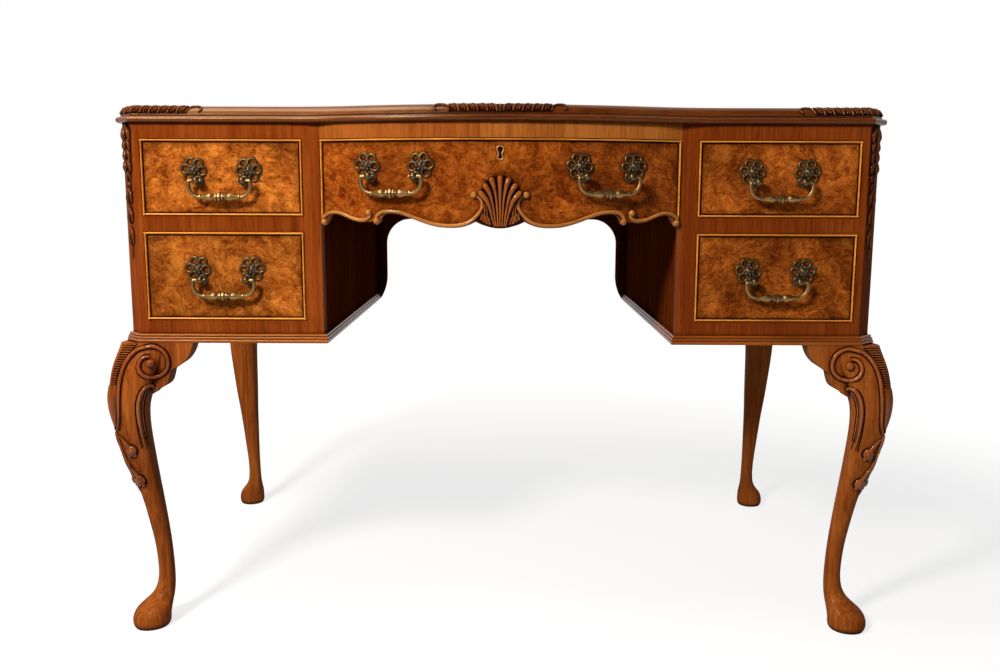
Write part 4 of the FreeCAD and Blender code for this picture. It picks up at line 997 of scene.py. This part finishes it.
class DESK_OT_knees(bpy.types.Operator):
    """Carve the front knees: volute, hollow, ribbed ridge and leaf sprigs"""
    bl_idname = "desk.knees"
    bl_label = "Knee carving"
    volute_start, volute_winding, volute_steps = 112, 372, 22
    volute_narrowing = 0.62
    ridge_top, ridge_foot = 436.5, 381

    def execute(self, context):
        sizes = context.scene.desk_carving
        self.ground = ground_of("right_front_leg", "right_knee_ears")
        ribs, gaps = self.ridge_parts(sizes)
        # The second set, lines beside the beads and beads between the ribs, is near-black painted shade
        for face, ridge, name, finish in ((self.face_parts(sizes), ribs, "carving", "carved_wood"),
                                          (self.painted_shade_parts(sizes), gaps, "ground", "painted_shade_wood")):
            right = joined(face + [copy_of(part, CORNER_SWAP) for part in face] + ridge, "right_knee_" + name)
            left = joined([copy_of(right, MIRROR)], "left_knee_" + name)
            for piece in (right, left):
                settle(piece, "carcass", "walnut", finish)
        return {"FINISHED"}

    def front(self, across, z, lift, may_miss=False):
        start = Vector((CARCASS_HALF - across * MM, FRONT_Y - 0.3, z * MM))
        return lay_on(self.ground, start, Vector((0, 1, 0)), lift, may_miss)

    def ridge(self, z, lift=0.0):
        way = Vector((-1, 1, 0)).normalized()
        start = Vector((CARCASS_HALF, FRONT_Y, z * MM)) - way * 0.2
        return lay_on(self.ground, start, way, lift)

    def volute(self, sizes):
        """The line that climbs the knee and winds into the volute."""
        line = list(KNEE_RISE)
        across, z = VOLUTE_MIDDLE
        for step in range(self.volute_steps + 1):
            share = step / self.volute_steps
            turn = math.radians(self.volute_start - self.volute_winding * share)
            radius = sizes.volute_radius / MM * (1 - self.volute_narrowing * share ** 2.6)
            line.append((across + radius * math.cos(turn), z + radius * math.sin(turn)))
        return line

    def face_parts(self, sizes):
        lift = 0.35 * sizes.knee_bead
        volute = self.volute(sizes)
        line = [self.front(across, z, lift) for across, z in volute]
        radii = [sizes.knee_bead * min(1, 0.45 + 0.2 * index) for index in range(len(line) - 3)]
        radii += [0.9 * sizes.knee_bead, 0.75 * sizes.knee_bead, 0.5 * sizes.knee_bead]
        parts = [bead_along(line, radii, rings=4)]
        parts.append(ball(self.front(*VOLUTE_MIDDLE, 0.3 * sizes.volute_eye), sizes.volute_eye))
        hollow = [self.front(across, z, lift) for across, z in KNEE_HOLLOW]
        radii = [0.9 * sizes.knee_bead * min(1, 0.25 + 0.25 * (len(hollow) - 1 - index))
                 for index in range(len(hollow))]
        parts.append(bead_along(hollow, radii, rings=5))
        for shift in (3.2, 5.4):
            flute = [self.front(across + shift * (1 - 0.1 * index), z, 0.3 * MM)
                     for index, (across, z) in enumerate(KNEE_HOLLOW[3:-1])]
            parts.append(bead_along(flute, [0.9 * MM] * (len(flute) - 1) + [0.4 * MM]))
        for sprig in KNEE_SPRIGS:
            line = [self.front(across, z, 0.8 * MM) for across, z in sprig]
            parts.append(bead_along(line, [radius * MM for radius in SPRIG_RADII]))
            across, z = sprig[-1]
            for aside, down, size, lift in SPRIG_BALLS:
                parts.append(ball(self.front(across + aside, z - down, lift * MM), size * MM, (1, 0.7, 1.1)))
        return parts

    def painted_shade_parts(self, sizes):
        """Near-black lines beside the volute's and the hollow's beads, round the sprigs' heads and in the
        hollow: painted shade.
        """
        parts = []
        lines = [(self.volute(sizes), sizes.knee_bead / MM), (KNEE_HOLLOW, 0.9 * sizes.knee_bead / MM)]
        for points, radius in lines:
            for side in (1, -1):
                run = []
                for index, (across, z) in enumerate(points):
                    before, after = points[max(index - 1, 0)], points[min(index + 1, len(points) - 1)]
                    way = Vector((after[0] - before[0], after[1] - before[1])).normalized()
                    aside = side * (radius + 0.7)
                    place = self.front(across + aside * way.y, z - aside * way.x, 0, True)
                    if place:
                        run.append(place)
                parts.append(bead_along(run, 0.85 * MM, rings=4, sides=2))
        for across, z in (sprig[-1] for sprig in KNEE_SPRIGS):
            turns = [math.radians(105 - 19 * step) for step in range(12)]
            ring = [self.front(across + 8.6 * math.cos(turn), z - 2 + 10 * math.sin(turn), 0, True)
                    for turn in turns]
            parts.append(bead_along([place for place in ring if place], 1.2 * MM, rings=4, sides=2))
        for shift in (4.3, 7):
            flute = [self.front(across + shift * (1 - 0.1 * index), z, -0.1 * MM, True)
                     for index, (across, z) in enumerate(KNEE_HOLLOW[3:-1])]
            parts.append(bead_along([place for place in flute if place], 0.8 * MM, rings=4, sides=2))
        return parts

    def ridge_parts(self, sizes):
        """Ribs across the ridge with near-black beads between them as painted shade, and below them the panel
        and the stem.
        """
        parts, gaps = [], []
        rise = self.ridge_top - self.ridge_foot
        pitch = rise / (sizes.knee_ribs - 1)
        for index in range(2 * sizes.knee_ribs - 1):
            z = self.ridge_top - pitch * index / 2
            rib = index % 2 == 0
            lift = (1.0 if rib else 0.1) * MM
            inner = -13 + 28 * ((z - self.ridge_foot) / rise) ** 1.6
            crest = self.ridge(z, lift)
            crest_across = (CARCASS_HALF - crest.x) / MM + 1.5
            front = [self.front(inner + (crest_across - inner) * share, z, lift)
                     for share in (0, 0.3, 0.6, 0.85)]
            line = front + [crest] + [CORNER_SWAP @ place for place in reversed(front)]
            radius = (1.05 if rib else 0.9) * MM
            (parts if rib else gaps).append(bead_along(line, radius, order=2, rings=1, sides=2))
        for run, lift in ((KNEE_PANEL, -4.6 * MM), (KNEE_STEM, 0.4 * MM)):
            line = [self.ridge(z, lift) for z, _ in run]
            parts.append(bead_along(line, [radius * MM for _, radius in run]))
        return parts, gaps


class DESK_OT_corner_drops(bpy.types.Operator):
    """Carve the drops of husks on the canted corners"""
    bl_idname = "desk.corner_drops"
    bl_label = "Corner drops"

    def execute(self, context):
        parts = []
        for top, foot, half in DROP_HUSKS:
            parts += self.husk(top * MM, foot * MM, half * MM)
        right = joined(parts, "right_corner_carving")
        left = joined([copy_of(right, MIRROR)], "left_corner_carving")
        for side, piece in (("right", right), ("left", left)):
            settle(piece, "carcass", "walnut", "leaf_wood", side + "_corner_drop")
        # Painted shadow: near-black pads round the husks
        husk_shadows = [self.pad(top * MM, foot * MM, half * MM) for top, foot, half in DROP_HUSKS]
        right = joined(husk_shadows, "right_corner_husk_shadows")
        for piece in (right, joined([copy_of(right, MIRROR)], "left_corner_husk_shadows")):
            settle(piece, "carcass", "walnut", "painted_shade_wood")
        return {"FINISHED"}

    def pad(self, top, foot, half):
        """A near-black pad under a husk, a little larger than it: painted shadow round the husk."""
        form = ball((0, 0, 0), 1, (min(1.12 * half, 13 * MM), 0.7 * MM, 0.56 * (foot - top)))
        seat = Matrix.Translation(self.place(0, (top + foot) / 2, 0))
        return moved(form, seat @ Matrix.Rotation(math.radians(45), 4, "Z"))

    def place(self, along, down, lift):
        """A place on the right cant, along it, down from the carcass top and off its face."""
        middle = Vector((CARCASS_HALF - CORNER_CANT / 2, FRONT_Y + CORNER_CANT / 2, CARCASS_TOP - down))
        return middle + CANT_WAY * along + CANT_OUT * lift

    def husk(self, top, foot, half):
        """Three lobes that open downwards, the middle one on top."""
        length = foot - top
        parts = []
        for side in (1, -1):
            shares = ((0.1, 0.0), (0.5, 0.3), (0.82, 0.62), (0.74, 0.95))
            line = [self.place(side * half * out, top + length * down, 0.14 * half) for out, down in shares]
            parts.append(bead_along(line, [half * r for r in (0.2, 0.36, 0.32, 0.14)], rings=4, sides=2))
        line = [self.place(0, top + length * down, half * lift) for down, lift in
                ((0.02, 0.15), (0.4, 0.3), (0.75, 0.42), (1.0, 0.3))]
        parts.append(bead_along(line, [half * r for r in (0.2, 0.42, 0.46, 0.16)], rings=4, sides=2))
        return parts


class DESK_OT_edge_leaves(bpy.types.Operator):
    """Carve the leaves on the top's edge, at its corners and over the shell"""
    bl_idname = "desk.edge_leaves"
    bl_label = "Edge leaves"
    band_foot, band_out, band_in = 11 * MM, 1.5 * MM, 10 * MM
    swell = 1.44 * MM

    def execute(self, context):
        pitch = context.scene.desk_carving.leaf_pitch
        corner = self.leaf_run(self.at_corner, 7, pitch, 2 * MM)
        corner += [copy_of(part, CORNER_SWAP) for part in corner]
        middle = self.leaf_run(self.at_middle, 5, pitch, 4 * MM)
        middle += [copy_of(part, MIRROR) for part in middle]
        middle.append(bead_along([self.at_middle(0, t, 0.6 * MM) for t in (0.05, 0.35, 0.7, 0.95)],
                                 [r * MM for r in (1.4, 2.8, 2.4, 0.8)]))
        parts = corner + [copy_of(part, MIRROR) for part in corner] + middle
        settle(joined(parts, "top_edge_leaves"), "carcass", "walnut", "leaf_wood")
        # Painted shade: near-black sheets behind the runs of leaves
        side = self.ground(self.at_corner, 0, 7 * pitch + 3 * MM)
        side = [side, copy_of(side, CORNER_SWAP)]
        leaf_shades = side + [copy_of(part, MIRROR) for part in side]
        leaf_shades.append(self.ground(self.at_middle, -5 * pitch - 5 * MM, 5 * pitch + 5 * MM))
        settle(joined(leaf_shades, "top_edge_leaf_shade"), "carcass", "walnut", "painted_shade_wood")
        return {"FINISHED"}

    def ground(self, place, start, end):
        """A near-black sheet behind a run of leaves: painted shade between them."""
        start_fresh()
        bpy.ops.mesh.primitive_grid_add(x_subdivisions=48, y_subdivisions=6, size=1)
        bpy.ops.object.mode_set(mode="EDIT")
        bpy.ops.mesh.extrude_region_move(TRANSFORM_OT_translate={"value": (0, 0, 1)})
        bpy.ops.object.mode_set(mode="OBJECT")
        sheet = bpy.context.object
        for vertex in sheet.data.vertices:
            x, y, z = vertex.co
            lift = (0.35 if z > 0.5 else -0.6) * MM
            vertex.co = place(start + (end - start) * (x + 0.5), 0.04 + 0.92 * (y + 0.5), lift)
        return sheet

    def section(self, share, lift):
        """Out and up on the top's ovolo, by share of its rise."""
        bulge = 4 * share * (1 - share) * self.swell + lift * DIAGONAL
        height = TOP_Z - CARCASS_TOP - self.band_foot
        out = self.band_out - (self.band_out + self.band_in) * share + bulge
        return out, CARCASS_TOP + self.band_foot + height * share + bulge

    def at_corner(self, along, share, lift):
        """A place along the edge from the middle of the right cant towards the front's middle."""
        out, z = self.section(share, lift)
        half = CORNER_CANT * DIAGONAL
        cant_end = Vector((CARCASS_HALF - CORNER_CANT, FRONT_Y, z))
        if along < half:
            return cant_end + CANT_WAY * (half - along) + CANT_OUT * out
        bend = math.tan(math.radians(22.5))
        mitre = bend * out * max(0, 1 - (along - half) / half)
        return cant_end + Vector((half - along, -out, 0)) + Vector((mitre, 0, 0))

    def at_middle(self, along, share, lift):
        out, z = self.section(share, lift)
        return on_bow(along, z, out)

    def leaf_run(self, place, count, pitch, start):
        """Slanted leaves that lean away from the run's start, closed by a scroll."""
        parts = []
        for index in range(count):
            foot = start + index * pitch
            for shift, size in ((0, 1.0), (0.36, 0.6), (0.62, 0.5)):
                line = [place(foot + pitch * (shift + lean), share, 0.9 * MM) for lean, share in
                        ((0, 0.06 + 0.25 * shift), (0.08, 0.42), (0.3, 0.72), (0.72 - 0.3 * shift, 0.96))]
                radii = [r * size * MM for r in (1.5, 2.7, 2.6, 1.2)]
                parts.append(bead_along(line, radii, rings=4, sides=2))
        foot = start + count * pitch
        scroll = [place(foot + along * MM, share, 0.6 * MM) for along, share in
                  ((0, 0.12), (2, 0.5), (7, 0.8), (14, 0.86), (20, 0.75), (22, 0.45), (19, 0.25))]
        parts.append(bead_along(scroll, [r * MM for r in (1, 1.6, 1.9, 1.9, 1.9, 1.7, 1.4)], rings=5))
        parts.append(ball(scroll[-1], 2 * MM))
        return parts


# Stage

def area_lamp(name, place, target, size, power, colour=(1, 1, 1)):
    bpy.ops.object.light_add(type="AREA", location=place)
    lamp = bpy.context.object
    lamp.name = name
    lamp.rotation_euler = (Vector(target) - Vector(place)).to_track_quat("-Z", "Y").to_euler()
    lamp.data.shape = "RECTANGLE"
    lamp.data.size, lamp.data.size_y = size
    lamp.data.energy = power
    lamp.data.color = colour
    return lamp


class DESK_OT_stage(bpy.types.Operator):
    """Set up the camera, the pale floor and the soft lamps"""
    bl_idname = "desk.stage"
    bl_label = "Stage"

    def execute(self, context):
        stage = context.scene.desk_stage
        scene = context.scene
        scene.view_settings.view_transform = "Standard"
        self.camera(scene, stage)
        self.floor(stage)
        self.world(scene, stage)
        area_lamp("key", (-1.05, -1.45 + FRONT_Y, 1.7), (-0.2, FRONT_Y, 0.45), (0.36, 0.36), stage.key_power,
                  (1, 0.96, 0.9))
        area_lamp("ceiling", (-0.75, -0.42, 2.15), (-0.55, -0.42, 0.4), (0.8, 0.7), stage.ceiling_power,
                  (1, 0.9, 0.75))
        area_lamp("fill", (1.9, -2.4, 1.1), (0.1, FRONT_Y, 0.45), (1.6, 1.6), stage.fill_power,
                  (1, 0.85, 0.7))
        area_lamp("rim", (-0.3, 2.2, 2.4), (0, 0, 0.7), (2.2, 1.2), stage.rim_power)
        return {"FINISHED"}

    def camera(self, scene, stage):
        bpy.ops.object.camera_add(location=stage.camera_place)
        camera = bpy.context.object
        yaw, pitch, roll = stage.camera_yaw, stage.camera_pitch, stage.camera_roll
        ahead = Vector((math.sin(yaw) * math.cos(pitch), math.cos(yaw) * math.cos(pitch), -math.sin(pitch)))
        right = Vector((math.cos(yaw), -math.sin(yaw), 0))
        up = right.cross(ahead)
        right, up = (right * math.cos(roll) + up * math.sin(roll),
                     up * math.cos(roll) - right * math.sin(roll))
        turn = Matrix((right, up, -ahead)).transposed()
        camera.rotation_euler = turn.to_euler()
        camera.data.sensor_width = 36
        camera.data.lens = stage.camera_lens
        camera.data.clip_end = 200
        scene.camera = camera

    def floor(self, stage):
        """A round pale floor, white where it meets the backdrop."""
        bpy.ops.mesh.primitive_circle_add(vertices=96, radius=5, fill_type="NGON", location=(0, 0, -0.0005))
        floor = bpy.context.object
        floor.name = "floor"
        material, tree, shader = new_material("pale_floor")
        shader.inputs["Base Color"].default_value = (*stage.floor_colour, 1)
        shader.inputs["Roughness"].default_value = 0.9
        shader.inputs["Specular IOR Level"].default_value = 0.0
        place = add(tree, "ShaderNodeTexCoord").outputs["Object"]
        away = add(tree, "ShaderNodeVectorMath", {0: place}, operation="LENGTH").outputs["Value"]
        white = add(tree, "ShaderNodeMapRange", {"Value": away, "From Min": 0.7, "From Max": 2.2,
                                                 "To Min": stage.floor_glow, "To Max": 1.0},
                    interpolation_type="SMOOTHSTEP").outputs[0]
        path = add(tree, "ShaderNodeLightPath").outputs
        seen = math_node(tree, "MAXIMUM", path["Is Camera Ray"], path["Is Glossy Ray"])
        seen = math_node(tree, "MAXIMUM", seen, path["Is Transmission Ray"])
        glow = add(tree, "ShaderNodeEmission", {"Strength": math_node(tree, "MULTIPLY", seen, white)})
        both = add(tree, "ShaderNodeAddShader", {0: shader.outputs[0], 1: glow.outputs[0]})
        output = next(node for node in tree.nodes if node.type == "OUTPUT_MATERIAL")
        tree.links.new(both.outputs[0], output.inputs["Surface"])
        floor.data.materials.append(material)

    def world(self, scene, stage):
        """White to the camera; polish sees the white backdrop behind the desk and a dim room before it."""
        world = bpy.data.worlds.new("studio")
        world.use_nodes = True
        tree = world.node_tree
        tree.nodes.clear()
        way = add(tree, "ShaderNodeTexCoord").outputs["Generated"]
        ahead = add(tree, "ShaderNodeSeparateXYZ", {0: way}).outputs["Y"]
        backdrop = add(tree, "ShaderNodeMapRange", {"Value": ahead, "From Min": -0.1, "From Max": 0.4})
        path = add(tree, "ShaderNodeLightPath").outputs
        seen = math_node(tree, "MAXIMUM", path["Is Camera Ray"], path["Is Transmission Ray"])
        mirrored = math_node(tree, "MULTIPLY", path["Is Glossy Ray"], backdrop.outputs[0])
        seen = math_node(tree, "MAXIMUM", seen, mirrored)
        strength = add(tree, "ShaderNodeMapRange", {"Value": seen, "To Min": stage.room_light, "To Max": 1.0})
        sky = add(tree, "ShaderNodeBackground", {"Color": (1, 1, 1, 1), "Strength": strength.outputs[0]})
        add(tree, "ShaderNodeOutputWorld", {"Surface": sky.outputs[0]})
        scene.world = world


class DESK_PT_panel(bpy.types.Panel):
    """Steps that dress the desk"""
    bl_idname = "DESK_PT_panel"
    bl_label = "Kneehole desk"
    bl_space_type = "VIEW_3D"
    bl_region_type = "UI"
    bl_category = "Desk"

    def draw(self, context):
        for step in STEPS:
            self.layout.operator(step.bl_idname)
        for group in (context.scene.desk_finish, context.scene.desk_carving, context.scene.desk_stage):
            box = self.layout.box()
            for name in group.bl_rna.properties.keys():
                if name not in ("rna_type", "name"):
                    box.prop(group, name)


STEPS = (DESK_OT_finishes, DESK_OT_beads, DESK_OT_shell, DESK_OT_keyhole, DESK_OT_flower_plates,
         DESK_OT_bails, DESK_OT_knees, DESK_OT_corner_drops, DESK_OT_edge_leaves, DESK_OT_stage)
CLASSES = (DeskFinish, DeskStage, DeskCarving) + STEPS + (DESK_PT_panel,)


def register():
    for cls in CLASSES:
        bpy.utils.register_class(cls)
    bpy.types.Scene.desk_finish = PointerProperty(type=DeskFinish)
    bpy.types.Scene.desk_stage = PointerProperty(type=DeskStage)
    bpy.types.Scene.desk_carving = PointerProperty(type=DeskCarving)


def unregister():
    del bpy.types.Scene.desk_carving
    del bpy.types.Scene.desk_stage
    del bpy.types.Scene.desk_finish
    for cls in reversed(CLASSES):
        bpy.utils.unregister_class(cls)


def main():
    register()
    bpy.ops.desk.finishes()
    bpy.ops.desk.beads()
    bpy.ops.desk.shell()
    bpy.ops.desk.keyhole()
    bpy.ops.desk.flower_plates()
    bpy.ops.desk.bails()
    bpy.ops.desk.knees()
    bpy.ops.desk.corner_drops()
    bpy.ops.desk.edge_leaves()
    bpy.ops.desk.stage()


if __name__ == "__main__":
    main()
